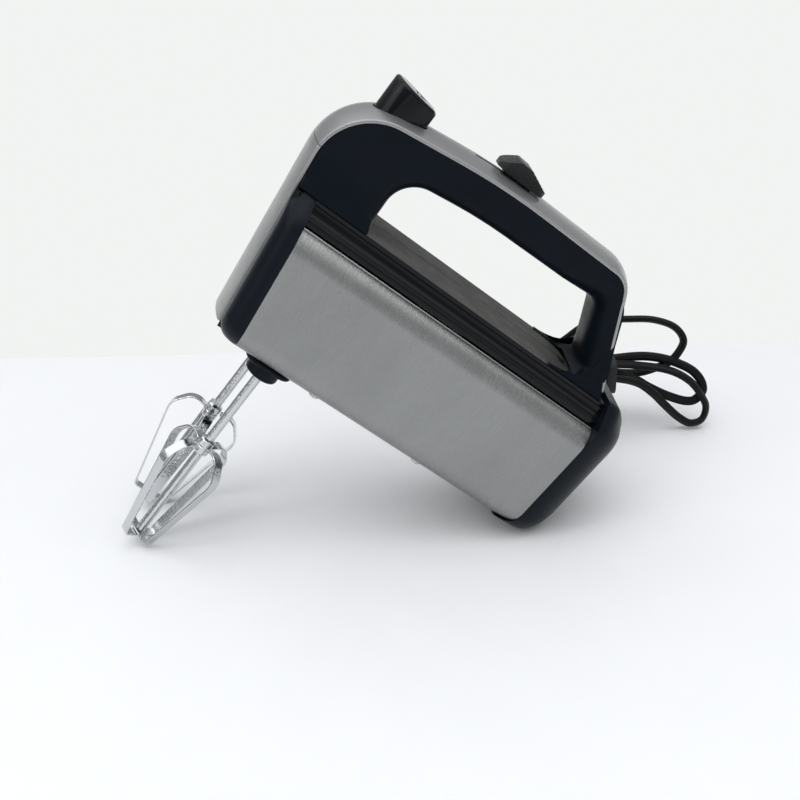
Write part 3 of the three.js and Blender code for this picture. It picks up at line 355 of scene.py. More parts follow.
class Shader:
    """A node material built up step by step."""

    def __init__(self, name, color, roughness, metallic=0.0, coat=0.0, specular=0.5, carried=True):
        self.material = bpy.data.materials.new(name)
        self.material.use_nodes = True
        self.nodes = self.material.node_tree.nodes
        self.links = self.material.node_tree.links
        self.surface = self.nodes["Principled BSDF"]
        self.set(self.surface, "Base Color", (*color, 1))
        self.set(self.surface, "Roughness", roughness)
        self.set(self.surface, "Metallic", metallic)
        self.set(self.surface, "Coat Weight", coat)
        self.set(self.surface, "Coat Roughness", 0.08)
        self.set(self.surface, "Specular IOR Level", specular)
        self.color, self.roughness = color, roughness
        self.height = None
        if carried:
            place = self.nodes.new("ShaderNodeAttribute")
            place.attribute_name = "place"
            self.coordinates = place.outputs["Vector"]
        else:
            self.coordinates = self.nodes.new("ShaderNodeTexCoord").outputs["Object"]

    @staticmethod
    def set(node, socket, value):
        node.inputs[socket].default_value = value

    def scaled(self, scale, turn=(0, 0, 0)):
        mapping = self.nodes.new("ShaderNodeMapping")
        self.set(mapping, "Scale", scale)
        self.set(mapping, "Rotation", turn)
        self.links.new(self.coordinates, mapping.inputs["Vector"])
        return mapping.outputs["Vector"]

    def noise(self, scale, stretch=(1, 1, 1), detail=3.0, rough=0.55):
        node = self.nodes.new("ShaderNodeTexNoise")
        self.set(node, "Scale", scale)
        self.set(node, "Detail", detail)
        self.set(node, "Roughness", rough)
        self.links.new(self.scaled(stretch), node.inputs["Vector"])
        return node.outputs["Fac"]

    def spread(self, value, low, high, out_low, out_high):
        node = self.nodes.new("ShaderNodeMapRange")
        limits = {"From Min": low, "From Max": high, "To Min": out_low, "To Max": out_high}
        for socket, number in limits.items():
            self.set(node, socket, number)
        self.links.new(value, node.inputs["Value"])
        return node.outputs["Result"]

    def vary_roughness(self, value, amount):
        low, high = self.roughness - amount, self.roughness + amount
        result = self.spread(value, 0.3, 0.7, low, high)
        self.links.new(result, self.surface.inputs["Roughness"])
        return self

    def vary_color(self, value, other):
        mix = self.nodes.new("ShaderNodeMix")
        mix.data_type = "RGBA"
        mix.inputs[6].default_value = (*self.color, 1)
        mix.inputs[7].default_value = (*other, 1)
        self.links.new(self.spread(value, 0.3, 0.7, 0, 1), mix.inputs[0])
        self.links.new(mix.outputs[2], self.surface.inputs["Base Color"])
        return self

    def bump(self, value, strength, distance):
        node = self.nodes.new("ShaderNodeBump")
        self.set(node, "Strength", strength)
        self.set(node, "Distance", distance)
        self.links.new(value, node.inputs["Height"])
        if self.height is not None:
            self.links.new(self.height, node.inputs["Normal"])
        self.height = node.outputs["Normal"]
        self.links.new(self.height, self.surface.inputs["Normal"])
        return self

    def paler_convex_edges(self, color, amount):
        """Paints a slightly paler tone where edges are convex."""
        geometry = self.nodes.new("ShaderNodeNewGeometry")
        edge = self.spread(geometry.outputs["Pointiness"], 0.52, 0.6, 0, amount)
        mix = self.nodes.new("ShaderNodeMix")
        mix.data_type = "RGBA"
        mix.inputs[7].default_value = (*color, 1)
        socket = self.surface.inputs["Base Color"]
        if socket.links:
            self.links.new(socket.links[0].from_socket, mix.inputs[6])
        else:
            mix.inputs[6].default_value = (*self.color, 1)
        self.links.new(edge, mix.inputs[0])
        self.links.new(mix.outputs[2], socket)
        return self


def plastic(name, color, roughness, grain, scale=1.0, coat=0.0, specular=0.5, clouds=1.25):
    """Moulded plastic: fine grain in the mould, faint clouds in the gloss. Lengths are in millimetres."""
    shader = Shader(name, color, roughness, coat=coat, specular=specular, carried=scale == 1.0)
    shader.vary_roughness(shader.noise(0.09 * scale, detail=4), roughness * 0.14)
    shader.vary_color(shader.noise(0.05 * scale, detail=2), [c * clouds for c in color])
    shader.bump(shader.noise(3.4 * scale, detail=2), grain, 0.05)
    # Dark satin plastics get a paler tone painted along their convex edges.
    if 0.0035 < max(color) < 0.3 and roughness > 0.2:
        shader.paler_convex_edges([c * clouds * 1.2 + 0.001 for c in color], 0.35)
    return shader.material


def brushed(name, color, roughness, grain, cross=0.03, strength=0.35):
    """Brushed metal with its lines square to the mixer's long axis."""
    shader = Shader(name, color, roughness, metallic=1.0)
    lines = shader.noise(grain, (1, cross, cross), detail=5, rough=0.7)
    patches = shader.noise(0.05, (1, 0.35, 0.35), detail=2)
    shader.vary_roughness(lines, 0.06)
    shader.vary_color(patches, [c * 0.9 for c in color])
    shader.bump(lines, strength, 0.04)
    return shader.material


def polished(name, color, roughness, scale=1.0):
    shader = Shader(name, color, roughness, metallic=1.0, carried=scale == 1.0)
    shader.vary_roughness(shader.noise(0.15 * scale, detail=4), roughness * 0.4)
    shader.bump(shader.noise(0.5 * scale, detail=2), 0.05, 0.05)
    return shader.material


steel = brushed("brushed_steel", (0.3, 0.305, 0.3), 0.25, 5.0, 0.012, 0.16)
navy = plastic("navy_satin", (0.003, 0.0055, 0.0095), 0.32, 0.05, specular=0.12)
handle_navy = plastic("handle_satin", (0.0025, 0.005, 0.0088), 0.38, 0.07, specular=0.1)
gloss = plastic("black_gloss", (0.0022, 0.0028, 0.004), 0.12, 0.015, coat=0.05, specular=0.2)
ribbed_black = plastic("slider_black", (0.0025, 0.0028, 0.0034), 0.3, 0.25, specular=0.4)
grey = plastic("dark_grey_matt", (0.062, 0.058, 0.054), 0.55, 0.5)
rubber = plastic("lead_black", (0.0022, 0.0024, 0.0028), 0.38, 0.12, specular=0.2)

silver_shader = Shader("silver_paint", (0.34, 0.34, 0.345), 0.34, metallic=0.72, coat=0.15)
silver_shader.vary_roughness(silver_shader.noise(0.08, detail=3), 0.05)
silver_shader.bump(silver_shader.noise(9.0, detail=2), 0.06, 0.03)
silver = silver_shader.material
chrome = polished("chrome", (0.62, 0.63, 0.64), 0.09)
spring_wire = polished("spring_wire", (0.5, 0.5, 0.51), 0.22)

# The nodes of the frame that stay have their own units, metres.
METRE = 1000.0
nylon_in = plastic("nylon_inside", (0.72, 0.69, 0.6), 0.45, 0.2, METRE, clouds=1.05)
steel_in = polished("machined_steel", (0.52, 0.53, 0.54), 0.28, METRE)
copper_in = polished("copper_inside", (0.72, 0.33, 0.16), 0.3, METRE)
carbon_in = plastic("carbon_inside", (0.03, 0.03, 0.033), 0.6, 0.3, METRE)
phenolic_in = plastic("phenolic_inside", (0.14, 0.07, 0.035), 0.55, 0.3, METRE)
plain_in = {
    "navy": plastic("navy_frame", (0.0045, 0.0075, 0.012), 0.4, 0.12, METRE),
    "gloss": plastic("gloss_frame", (0.0022, 0.0028, 0.004), 0.16, 0.03, METRE),
    "silver": polished("silver_frame", (0.56, 0.56, 0.565), 0.34, METRE),
    "grey": plastic("grey_frame", (0.062, 0.058, 0.054), 0.55, 0.4, METRE),
    "pale": plastic("pale_frame", (0.62, 0.64, 0.66), 0.45, 0.2, METRE, clouds=1.05),
    "steel": polished("steel_frame", (0.36, 0.365, 0.36), 0.33, METRE),
    "chrome": polished("chrome_frame", (0.78, 0.79, 0.8), 0.08, METRE),
    "rubber": plastic("rubber_frame", (0.0028, 0.003, 0.0036), 0.36, 0.2, METRE),
    "machined": steel_in,
    "nylon": nylon_in,
    "copper": copper_in,
    "carbon": carbon_in,
    "phenolic": phenolic_in,
}
for part in frame["record"]["subparts"]:
    node = frame["nodes"][part["node"]]
    node.data.materials.clear()
    node.data.materials.append(plain_in[part["material_slot"]])
    node.data.shade_smooth()
    node.data.set_sharp_from_angle(angle=math.radians(32))

# ---------------------------------------------------------------- lead

ROUTE = [
    (104.4, 61.7, 42.6), (104.4, 76, 41), (101, 89, 32), (89, 98, 24),
    (73, 98, 18), (59, 90, 15), (55, 78, 16), (67, 71, 20),
    (89, 76, 27), (119, 79, 36), (143, 80, 41), (164.6, 82, 38.4),
    (177.3, 80, 36.5), (184.6, 78, 34.2), (193.1, 77, 28.3), (199.2, 76, 20.2),
    (202.5, 75, 13), (200, 73, 5.5), (192.9, 72, 4), (185.5, 72, 8.3),
    (176.4, 72, 17.1), (168.8, 72, 25), (159.6, 73, 31.6), (143, 74, 35),
    (124, 71, 33), (94, 66, 22), (64, 65, 13), (43, 76, 10),
    (36, 94, 10), (49, 112, 13), (79, 113, 22), (114, 98, 34),
    (143, 87, 41.3), (166.4, 90, 41), (178.6, 88, 39.6), (186.6, 86, 37.2),
    (195.5, 84, 32.5), (200.4, 82, 26.4), (201.1, 80, 21.2), (196.4, 79, 15.8),
    (191.6, 79, 15.3), (179.4, 79, 19.6), (168.5, 79, 25.4), (157.9, 80, 31.5),
    (143, 81, 34.5), (122, 84, 27), (99, 88, 13), (77, 84, 4),
    (59, 92, 3.4), (51, 108, 3.4), (59, 125, 6), (77, 130, 16),
    (99, 121, 33), (117.9, 108, 43.6), (132.6, 104, 56.1), (145.2, 101, 60.5),
    (157.9, 98, 62), (172.6, 94, 62.4), (184.6, 91, 58.1), (189.5, 89, 50.6),
    (186.6, 88, 43), (181.6, 88, 37.2), (173.6, 88, 33.8), (163.4, 88, 31.2),
    (143, 88, 32.2), (128, 92, 26.5), (113, 104, 13), (104, 120, 7.4),
    (98, 134, 7.4), (90, 143, 7.4), (82, 146.5, 7.6), (72, 147, 7.6),
]
ROUTE = [Vector(point) for point in ROUTE]


def smooth_route(points, spacing):
    """Centripetal Catmull-Rom curve through the points."""
    ends = [points[0] * 2 - points[1], *points, points[-1] * 2 - points[-2]]
    curve = []
    for p0, p1, p2, p3 in zip(ends, ends[1:], ends[2:], ends[3:]):
        d0, d1, d2 = (math.sqrt((b - a).length) for a, b in ((p0, p1), (p1, p2), (p2, p3)))
        m1 = ((p1 - p0) / d0 - (p2 - p0) / (d0 + d1) + (p2 - p1) / d1) * d1
        m2 = ((p2 - p1) / d1 - (p3 - p1) / (d1 + d2) + (p3 - p2) / d2) * d1
        steps = max(2, round((p2 - p1).length / spacing))
        for k in range(steps):
            t = k / steps
            a, b = 2 * t**3 - 3 * t**2 + 1, t**3 - 2 * t**2 + t
            curve.append(p1 * a + m1 * b + p2 * (1 - a) + m2 * (t**3 - t**2))
    return [*curve, points[-1]]


def flex(line, section, start):
    """Section (side, over) carried along a line in space without twisting."""
    over = Vector(start)
    rings = []
    for point, tangent in zip(line, tangents(line)):
        over = (over - tangent * over.dot(tangent)).normalized()
        side = tangent.cross(over)
        rings.append([point + side * a + over * b for a, b in section])
    return rings


lead_line = smooth_route(ROUTE, 1.6)
twin = []
for k in range(28):
    angle = 2 * math.pi * k / 28
    groove = 0.34 * math.exp(-((math.cos(angle) / 0.22) ** 2))
    twin.append((CORD_DIAMETER / 2 * math.cos(angle), (2.05 - groove) * math.sin(angle)))
lead = make("lead", loft(flex(lead_line, twin, (0, 0, 1))), WORLD)
finished(lead, "housing", rubber, ["cord"], 60)


def boot_profile():
    profile = [(0, 0.4), (5.6, 0.4), (5.9, 0.9), (5.9, 2.6), (5.5, 3.2)]
    for k in range(8):
        at = 4.2 + k * 2.25
        width = 5.3 - k * 0.2
        profile += [(width - 0.75, at - 0.35), (width, at), (width, at + 1.05), (width - 0.75, at + 1.4)]
    return [*profile, (3.6, 22.4), (3.5, 23.2), (3.2, BOOT_LENGTH), (0, BOOT_LENGTH)]


exit_low, exit_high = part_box("strain_relief")
exit_middle = (exit_low + exit_high) / 2
exit_top = Vector((exit_middle.x, exit_high.y, exit_middle.z))
boot_foot = Matrix.Translation(exit_top * 1000 - Vector((0, BOOT_LENGTH, 0)))
facing_far = boot_foot @ Matrix.Rotation(-math.pi / 2, 4, "X")
boot = make("boot", moved(turned(boot_profile(), 40), facing_far), WORLD)
finished(boot, "housing", rubber, ["strain_relief"], 50)


def tie_band():
    low, high = (corner * 1000 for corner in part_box("cord_tie"))
    middle = (low + high) / 2
    outline = rectangle(low.y + 0.7, high.y - 0.7, low.z + 0.7, high.z - 0.7, 4.2)
    rings = []
    count = len(outline)
    section = rectangle(-2.8, 2.8, -0.6, 0.6, 0.5, step=30)
    for i, point in enumerate(outline):
        tangent = (outline[(i + 1) % count] - outline[i - 1]).normalized()
        out = Vector((0, tangent.y, -tangent.x))
        at = Vector((middle.x, point.x, point.y))
        rings.append([at + Vector((1, 0, 0)) * a + out * b for a, b in section])
    return loft([*rings, rings[0]], capped=False)


band = make("tie_band", tie_band(), WORLD)
finished(band, "housing", ribbed_black, ["cord_tie"], 50)


def plug_shell():
    """Flat plug body, lofted from the lead's end to the pins' face."""
    low, high = (corner * 1000 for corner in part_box("plug_body"))
    middle = (low + high) / 2
    stations = [
        (0, 3.0, 2.6), (0.4, 3.5, 3.1), (2, 4.0, 3.4), (5, 4.4, 3.5), (8, 5.2, 3.9),
        (12, 7.0, 4.8), (16, 9.3, 5.8), (20, 11.6, 6.5), (24, 12.7, 6.8), (30, 12.95, 6.82),
        (34.6, 12.95, 6.82), (35.5, 12.6, 6.5), (36, 11.8, 5.8),
    ]
    rings = []
    for along, half_width, half_height in stations:
        corner = min(half_height * 0.62, half_width * 0.62)
        outline = rectangle(-half_width, half_width, -half_height, half_height, corner, step=10)
        rings.append([(high.x - along, middle.y + a, middle.z + b) for a, b in outline])
    return loft(rings)


plug = make("plug_shell", plug_shell(), WORLD)
plug_low, plug_high = (corner * 1000 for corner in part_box("plug_body"))
for k in range(4):
    x = plug_high.x - 21.5 - k * 3
    for z in (plug_low.z - 0.1, plug_high.z - 0.5):
        rib = plan(rectangle(x - 0.6, x + 0.6, plug_low.y + 5, plug_high.y - 5, 0.5, 20), z, z + 0.6)
        combined(plug, rib)
finished(plug, "housing", rubber, ["plug_body"], 50)
pins = []
for name in ("plug_pin_1", "plug_pin_2"):
    low, high = (corner * 1000 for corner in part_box(name))
    middle = (low + high) / 2
    place = Matrix.Translation((high.x, middle.y, middle.z)) @ Matrix.Rotation(-math.pi / 2, 4, "Y")
    sleeve = [(0, 0), (1.9, 0), (1.9, 9.6), (1.7, 9.8), (0, 9.8)]
    tip = [(0, 9.8), (1.95, 9.8), (2.0, 10), (2.0, 17.2), (1.8, 18.2), (1.1, 18.9), (0, 19)]
    shroud = make(name + "_shroud", moved(turned(sleeve, 24), place), WORLD)
    finished(shroud, "housing", rubber)
    metal = make(name + "_tip", moved(turned(tip, 24), place), WORLD)
    finished(metal, "housing", chrome, [name])
    pins += [shroud, metal]

# ---------------------------------------------------------------- room and light

TABLE_YAW = -0.055
TABLE_EDGE = 0.207
TABLE_REACH = 3
floor_material = plastic("table_white", (0.86, 0.865, 0.88), 0.5, 0.04, METRE * 0.4, clouds=1.015)
table_corners = [
    (-TABLE_REACH, -TABLE_REACH, 0), (TABLE_REACH, -TABLE_REACH, 0),
    (TABLE_REACH, TABLE_EDGE + TABLE_REACH * TABLE_YAW, 0),
    (-TABLE_REACH, TABLE_EDGE - TABLE_REACH * TABLE_YAW, 0),
]
floor = make("floor", (table_corners, [(0, 1, 2, 3)]), Matrix.Identity(4))
floor.data.materials.append(floor_material)


def area_light(name, at, aim_at, size, power, color=(1, 1, 1)):
    light = bpy.data.lights.new(name, "AREA")
    light.shape = "RECTANGLE"
    light.size, light.size_y = size
    light.energy = power
    light.color = color
    holder = bpy.data.objects.new(name, light)
    bpy.context.scene.collection.objects.link(holder)
    toward = Vector(aim_at) - Vector(at)
    holder.matrix_world = Matrix.Translation(at) @ toward.to_track_quat("-Z", "Y").to_matrix().to_4x4()
    return holder


area_light("ceiling", (-0.15, -0.2, 1.3), (0, 0.02, 0), (2.4, 1.9), 10)
area_light("strip", (0.1, -0.25, 1.25), (0, 0, 0.1), (1.5, 0.16), 1.6)
area_light("side", (0.95, -0.35, 0.85), (0, 0, 0.1), (0.45, 1.0), 0.8)
area_light("window", (-1.1, -0.7, 0.75), (0, 0, 0.05), (0.7, 0.9), 2.4, (0.97, 0.99, 1))
world = bpy.data.worlds.new("room")
world.use_nodes = True
sky = world.node_tree
direction = sky.nodes.new("ShaderNodeTexCoord").outputs["Generated"]
upward = sky.nodes.new("ShaderNodeSeparateXYZ")
sky.links.new(direction, upward.inputs["Vector"])
height = sky.nodes.new("ShaderNodeMapRange")
height.inputs["From Min"].default_value = -1
ramp = sky.nodes.new("ShaderNodeValToRGB")
ramp.color_ramp.elements[0].color = (0.98, 1, 0.985, 1)
ramp.color_ramp.elements[1].color = (0.96, 0.98, 1, 1)
# From the horizon up: pale, a grey zone for the metal to reflect, then pale again.
ROOM_SHADES = {
    0.5: (0.98, 1, 0.985, 1), 0.54: (0.3, 0.305, 0.315, 1),
    0.7: (0.42, 0.43, 0.44, 1), 0.9: (0.96, 0.98, 1, 1),
}
for position, shade in ROOM_SHADES.items():
    ramp.color_ramp.elements.new(position).color = shade
sky.links.new(upward.outputs["Z"], height.inputs["Value"])
sky.links.new(height.outputs["Result"], ramp.inputs["Fac"])
sky.links.new(ramp.outputs["Color"], sky.nodes["Background"].inputs["Color"])
sky.nodes["Background"].inputs["Strength"].default_value = 0.9
bpy.context.scene.world = world
bpy.context.scene.view_settings.view_transform = "Standard"



# ---------------------------------------------------------------- housing


def front_at(z):
    return -NOSE_LEAN * z


def leaning(shape):
    verts, faces = shape
    return [(x + front_at(z), y, z) for x, y, z in verts], faces


def sleeve_rear(z):
    if z >= SLEEVE_REAR_RADIUS:
        return BODY_LENGTH
    drop = SLEEVE_REAR_RADIUS - max(z, 0)
    return BODY_LENGTH - SLEEVE_REAR_RADIUS + math.sqrt(SLEEVE_REAR_RADIUS**2 - drop**2)


def sleeve_profile():
    """Closed section of the sheet: over the folded lip, down the flank, under the base and up again."""
    first = math.degrees(math.asin((SLEEVE_LIP_EDGE - HALF_WIDTH + BODY_CORNER) / BODY_CORNER))
    quarter = []
    for k in range(53):
        angle = first + (90 - first) * k / 52
        fold = 0.32 * math.exp(-(((angle - first - 8.5) / 1.3) ** 2))
        quarter.append((angle, BODY_CORNER - fold))
    centre, top = HALF_WIDTH - BODY_CORNER, BODY_HEIGHT - BODY_CORNER

    def skin(upper, lower_radius):
        line = []
        for angle, radius in upper:
            turn = math.radians(angle)
            line.append((centre + radius * math.sin(turn), top + radius * math.cos(turn)))
        for k in range(31):
            turn = math.radians(90 * k / 30)
            drop = lower_radius * math.sin(turn)
            line.append((centre + lower_radius * math.cos(turn), BODY_CORNER - drop))
        return line + [(-y, z) for y, z in reversed(line)]

    thin = BODY_CORNER - SLEEVE_SHEET
    inner = skin([(angle, thin) for angle, _ in quarter], thin)
    return skin(quarter, BODY_CORNER) + inner[::-1]


profile = sleeve_profile()
rings = []
for share in (0, 0.004, *[k / 24 for k in range(1, 24)], 0.996, 1):
    rings.append([(front_at(z) + (sleeve_rear(z) - front_at(z)) * share, y, z) for y, z in profile])
sleeve = make("sleeve", loft(rings, banded=True))
screw_holes = [(x, y, 1.6) for x in (46, 108) for y in (-24, 24)]
socket_holes = [(SPINDLE_X, y, 5.4) for y in (-SPINDLE_SPACING / 2, SPINDLE_SPACING / 2)]
for x, y, radius in screw_holes + socket_holes:
    combined(sleeve, plan(circle(x, y, radius), -3, 3))
finished(sleeve, "housing", steel, ["steel_sleeve"], 30)


def fillet(distance, radius):
    """How far a rounded edge stands back, at a distance from its end."""
    if distance >= radius:
        return 0
    return radius - math.sqrt(max(0, radius**2 - (radius - max(distance, 0)) ** 2))


def cap_widths(drop, top, grow=0, step=4):
    """Half widths of the end caps' section, as (height, half width) from the base up."""
    side, deck = HALF_WIDTH + grow, DECK_HALF + 1.5 + grow
    right = rounded([
        (0, -drop), (side, -drop, BODY_CORNER), (side, BODY_HEIGHT + 1, BODY_CORNER),
        (deck, top, 3), (0, top),
    ], closed=False, step=step)
    return [(p.y, p.x) for p in right[1:-1]]


def bezel_body(grow, rear):
    rings = []
    widths = cap_widths(grow, DECK_HEIGHT + grow, grow)
    low, high = widths[0][0], widths[-1][0]
    extra = [low + (high - low) * k / 60 for k in range(61)]
    heights = sorted({round(z, 3) for z, _ in widths} | {round(z, 3) for z in extra})
    for z in heights:
        width = width_at(widths, z)
        back = fillet(z - low, 8 + grow) * 0.8 + fillet(high - z, 4.5 + grow)
        front = -BEZEL_DEPTH - grow + back
        radius = max(1.0, min(BEZEL_CORNER + grow - back * 0.4, width - 1, rear - front - 0.2))
        corners = [(rear, width), (rear, -width), (front, -width, radius), (front, width, radius)]
        rings.append(spread_ring([(p.x, p.y, z) for p in rounded(corners, step=5)], 64))
    return leaning(loft(rings))


def width_at(widths, z):
    for (z0, w0), (z1, w1) in zip(widths, widths[1:]):
        if z0 <= z <= z1 and z1 > z0:
            return w0 + (w1 - w0) * (z - z0) / (z1 - z0)
    return widths[0][1] if z < widths[0][0] else widths[-1][1]


def spread_ring(ring, count):
    """The ring's front half with even spacing, between its two rear corners."""
    line = [Vector(p) for p in [*ring[1:], ring[0]]]
    return [tuple(p) for p in resampled(line, count)]


bezel = make("bezel", bezel_body(0, -GAP))
recess_floor = -BEZEL_DEPTH + FRONT_RECESS
combined(bezel, leaning(plan(rectangle(-40, recess_floor, -CHANNEL_RIM, CHANNEL_RIM, 2), RECESS_FOOT, 100)))
hollow = make("hollow", bezel_body(-SHELL_WALL, 5))
behind_recess = rectangle(recess_floor + SHELL_WALL, 5, -HALF_WIDTH, HALF_WIDTH)
combined(hollow, leaning(plan(behind_recess, -5, 100)), "INTERSECT")
joined(bezel, hollow)
finished(bezel, "housing", navy, ["front_bezel"], 34)

floor_x = recess_floor - GAP
rim = CHANNEL_RIM - GAP
channel_line = rounded([
    (floor_x - 2.6, -rim, 0.3), (floor_x, -rim), (floor_x, rim), (floor_x - 2.6, rim, 0.3),
    (floor_x - 2.6, rim - 0.9, 0.3), (floor_x - 1.3, rim - 1.5, 0.2), (floor_x - 1.3, rim - 3.1, 0.2),
    (floor_x - 2.2, rim - 3.4, 0.25), (floor_x - 2.2, rim - 3.9, 0.25), (floor_x - 0.9, rim - 4.6, 0.3),
    (floor_x - 0.9, -rim + 4.6, 0.3), (floor_x - 2.2, -rim + 3.9, 0.25), (floor_x - 2.2, -rim + 3.4, 0.25),
    (floor_x - 1.3, -rim + 3.1, 0.2), (floor_x - 1.3, -rim + 1.5, 0.2), (floor_x - 2.6, -rim + 0.9, 0.3),
], step=15)
channel = make("channel", leaning(plan(channel_line, RECESS_FOOT + GAP, DECK_HEIGHT - 0.5)))
bevelled(channel, 0.25, 2, 60)
finished(channel, "housing", gloss, ["front_channel"], 30)


def rear_body(grow, first_x):
    low, high = -REAR_CAP_DROP - grow, REAR_CAP_HEIGHT + grow
    heel = HEEL_X + grow
    profile_line = rounded([
        (first_x, low), (heel, low, HEEL_RADIUS + grow), (heel, 69, 25 + grow),
        (BODY_LENGTH + 8, high, 7 + grow), (first_x, high),
    ], closed=False, step=3)
    bottom = [p for p in profile_line if p.y < 40]
    above = [p for p in profile_line if p.y >= 40][::-1]
    side = HALF_WIDTH + grow
    flank = rounded([(first_x, side), (heel, side, REAR_CAP_CORNER + grow), (heel, 0)], closed=False, step=3)
    stations = [first_x, first_x + 3, *[BODY_LENGTH - 3 + k for k in range(0, 12, 2)]]
    depth = heel - stations[-1]
    stations += [stations[-1] + depth * math.sin(math.pi / 2 * k / 40) for k in range(1, 41)]
    rings = []
    for x in stations:
        z0, z1 = height_on(bottom, x), height_on(above, x)
        half = height_on(flank, x)
        shrink = half / side
        deck = (DECK_HALF + 1.5 + grow) * shrink
        shoulder = min(BODY_HEIGHT + 1, z1 - 1.5)
        radius = min(BODY_CORNER, half * 0.8)
        outline = rounded([
            (0, z0), (half, z0, min(BODY_CORNER, half * 0.75)), (half, shoulder, radius * 0.9),
            (deck, z1, min(3, deck * 0.3)), (0, z1),
        ], closed=False, step=4)
        right = resampled(outline, 60)
        rings.append([(x, p.x, p.y) for p in right] + [(x, -p.x, p.y) for p in right[-2:0:-1]])
    return loft(rings)


def height_on(line, x):
    best = line[0].y
    for a, b in zip(line, line[1:]):
        if min(a.x, b.x) <= x <= max(a.x, b.x) and abs(b.x - a.x) > 1e-6:
            best = a.y + (b.y - a.y) * (x - a.x) / (b.x - a.x)
    if x >= max(p.x for p in line) - 1e-6:
        best = max(line, key=lambda p: p.x).y
    return best


rear_start = BODY_LENGTH - SLEEVE_REAR_RADIUS
cap = make("cap", rear_body(0, rear_start))
hollow = make("hollow", rear_body(-SHELL_WALL, rear_start - 1))
joined(cap, hollow)
sleeve_side = rounded([
    (-20, -20), (BODY_LENGTH - 3 * SLEEVE_REAR_RADIUS, -20), (BODY_LENGTH - SLEEVE_REAR_RADIUS, -GAP),
    (BODY_LENGTH + GAP, -GAP, SLEEVE_REAR_RADIUS), (BODY_LENGTH + GAP, 100), (-20, 100),
], step=4)
combined(cap, side_profile(sleeve_side, -60, 60))
for y in (-16, 16):
    combined(cap, cross_section(circle(y, 24, 3.6), HEEL_X - 4, HEEL_X + 5))
combined(cap, side_profile(circle(BODY_LENGTH + 7, 50, 4.5), 20, 50))
finished(cap, "housing", navy, ["rear_cap"], 34)


def along_body(section):
    """A section (y, z) from the leaning front to the sleeve's rear end."""
    rings = []
    for share in (0, 1):
        rings.append([(front_at(z) + (BODY_LENGTH - front_at(z)) * share, y, z) for y, z in section])
    return loft(rings)


def rail_shape(side):
    points = [
        (30, 66.8), (30, 68.9), (29.85, 69.3), (29.5, 69.5), (29.2, 69.75), (29.2, 70.15), (28.9, 70.4),
    ]
    for k in range(9):
        t = k / 8
        sag = 0.75 * math.sin(math.pi * t)
        points.append((28.6 - 3.0 * t - sag * 0.8, 70.45 + 4.9 * t - sag * 0.55))
    points += [
        (25.45, 75.55), (25.3, 75.5), (25.2, 74.5), (24.7, 74.4), (24.55, 74.6), (24.5, 77.2),
        (24.35, 77.42), (24.1, 77.5), (23, 77.5), (23, 66.8),
    ]
    return along_body([(side * y, z) for y, z in points])


for name, side in (("near", -1), ("far", 1)):
    rail = make(name + "_rail", rail_shape(side))
    finished(rail, "housing", gloss, [name + "_trim_rail"], 24)

deck_section = [
    (-22.7, 67.5), (-20.7, 67.5), (-20.7, 75.3), (20.7, 75.3), (20.7, 67.5), (22.7, 67.5),
    (22.7, 77.2), (22.4, 77.5), (4.15, 77.5), (4.0, 77.38), (3.75, 77.2), (3.5, 77.38),
    (3.35, 77.5), (-22.4, 77.5), (-22.7, 77.2),
]
deck = make("deck", along_body(deck_section))
combined(deck, plan(rectangle(-1, 5, -5, 5, 0.5), 60, 90))
combined(deck, plan(rectangle(BODY_LENGTH - 25, BODY_LENGTH - 19, -5, 5, 0.5), 60, 90))
for x in (FRONT_POST_DEPTH - 25, BODY_LENGTH - REAR_POST_DEPTH + 3.5):
    for y in (-9, 9):
        combined(deck, plan(circle(x, y, 1.6, 24), 60, 90))
finished(deck, "housing", grey, ["top_cover"], 30)

# ---------------------------------------------------------------- silver cover

cover_line = resampled(rounded([
    (-COVER_STANDOFF + NOSE_LEAN * 2, -2),
    (-COVER_STANDOFF - NOSE_LEAN * NOSE_TOP, NOSE_TOP, COVER_NOSE_RADIUS),
    (57, COVER_TOP, 350),
    (BODY_LENGTH - 31.4, COVER_TOP, COVER_HEEL_RADIUS),
    (BODY_LENGTH - 0.6, DECK_HEIGHT),
], closed=False, step=1.5), 240)


def cover_section():
    half = COVER_WIDTH / 2
    edge = [
        (half, -COVER_FLANK + 0.15), (half, -0.62), (half - 0.06, -0.36), (half - 0.22, -0.14),
        (half - 0.5, 0),
    ]
    crown = [(half - 0.5) * (1 - 2 * k / 40) for k in range(1, 40)]
    crown = [(a, COVER_CROWN * (1 - (a / (half - 0.5)) ** 2)) for a in crown]
    outer = edge + crown + [(-a, b) for a, b in reversed(edge)]
    inner_half = half - COVER_SHEET
    low = -COVER_FLANK * 0.2 - COVER_SHEET + 0.6
    inner = [inner_half * (1 - 2 * k / 20) for k in range(1, 20)]
    inner = [(a, low + (COVER_CROWN - 0.3) * (1 - (a / inner_half) ** 2)) for a in inner]
    foot = [(-half + 0.15, -COVER_FLANK), (-inner_half, -COVER_FLANK)]
    return outer + foot + inner[::-1] + [(inner_half, -COVER_FLANK), (half - 0.15, -COVER_FLANK)]


def button_outline(grow, step=6):
    return rounded([
        (-9.4 - grow, -9.5 - grow, 9.2 + grow), (6, -9.5 - grow, 12), (14.9 + grow, -6 - grow, 4 + grow),
        (14.9 + grow, 6 + grow, 4 + grow), (6, 9.5 + grow, 12), (-9.4 - grow, 9.5 + grow, 9.2 + grow),
    ], step=step)


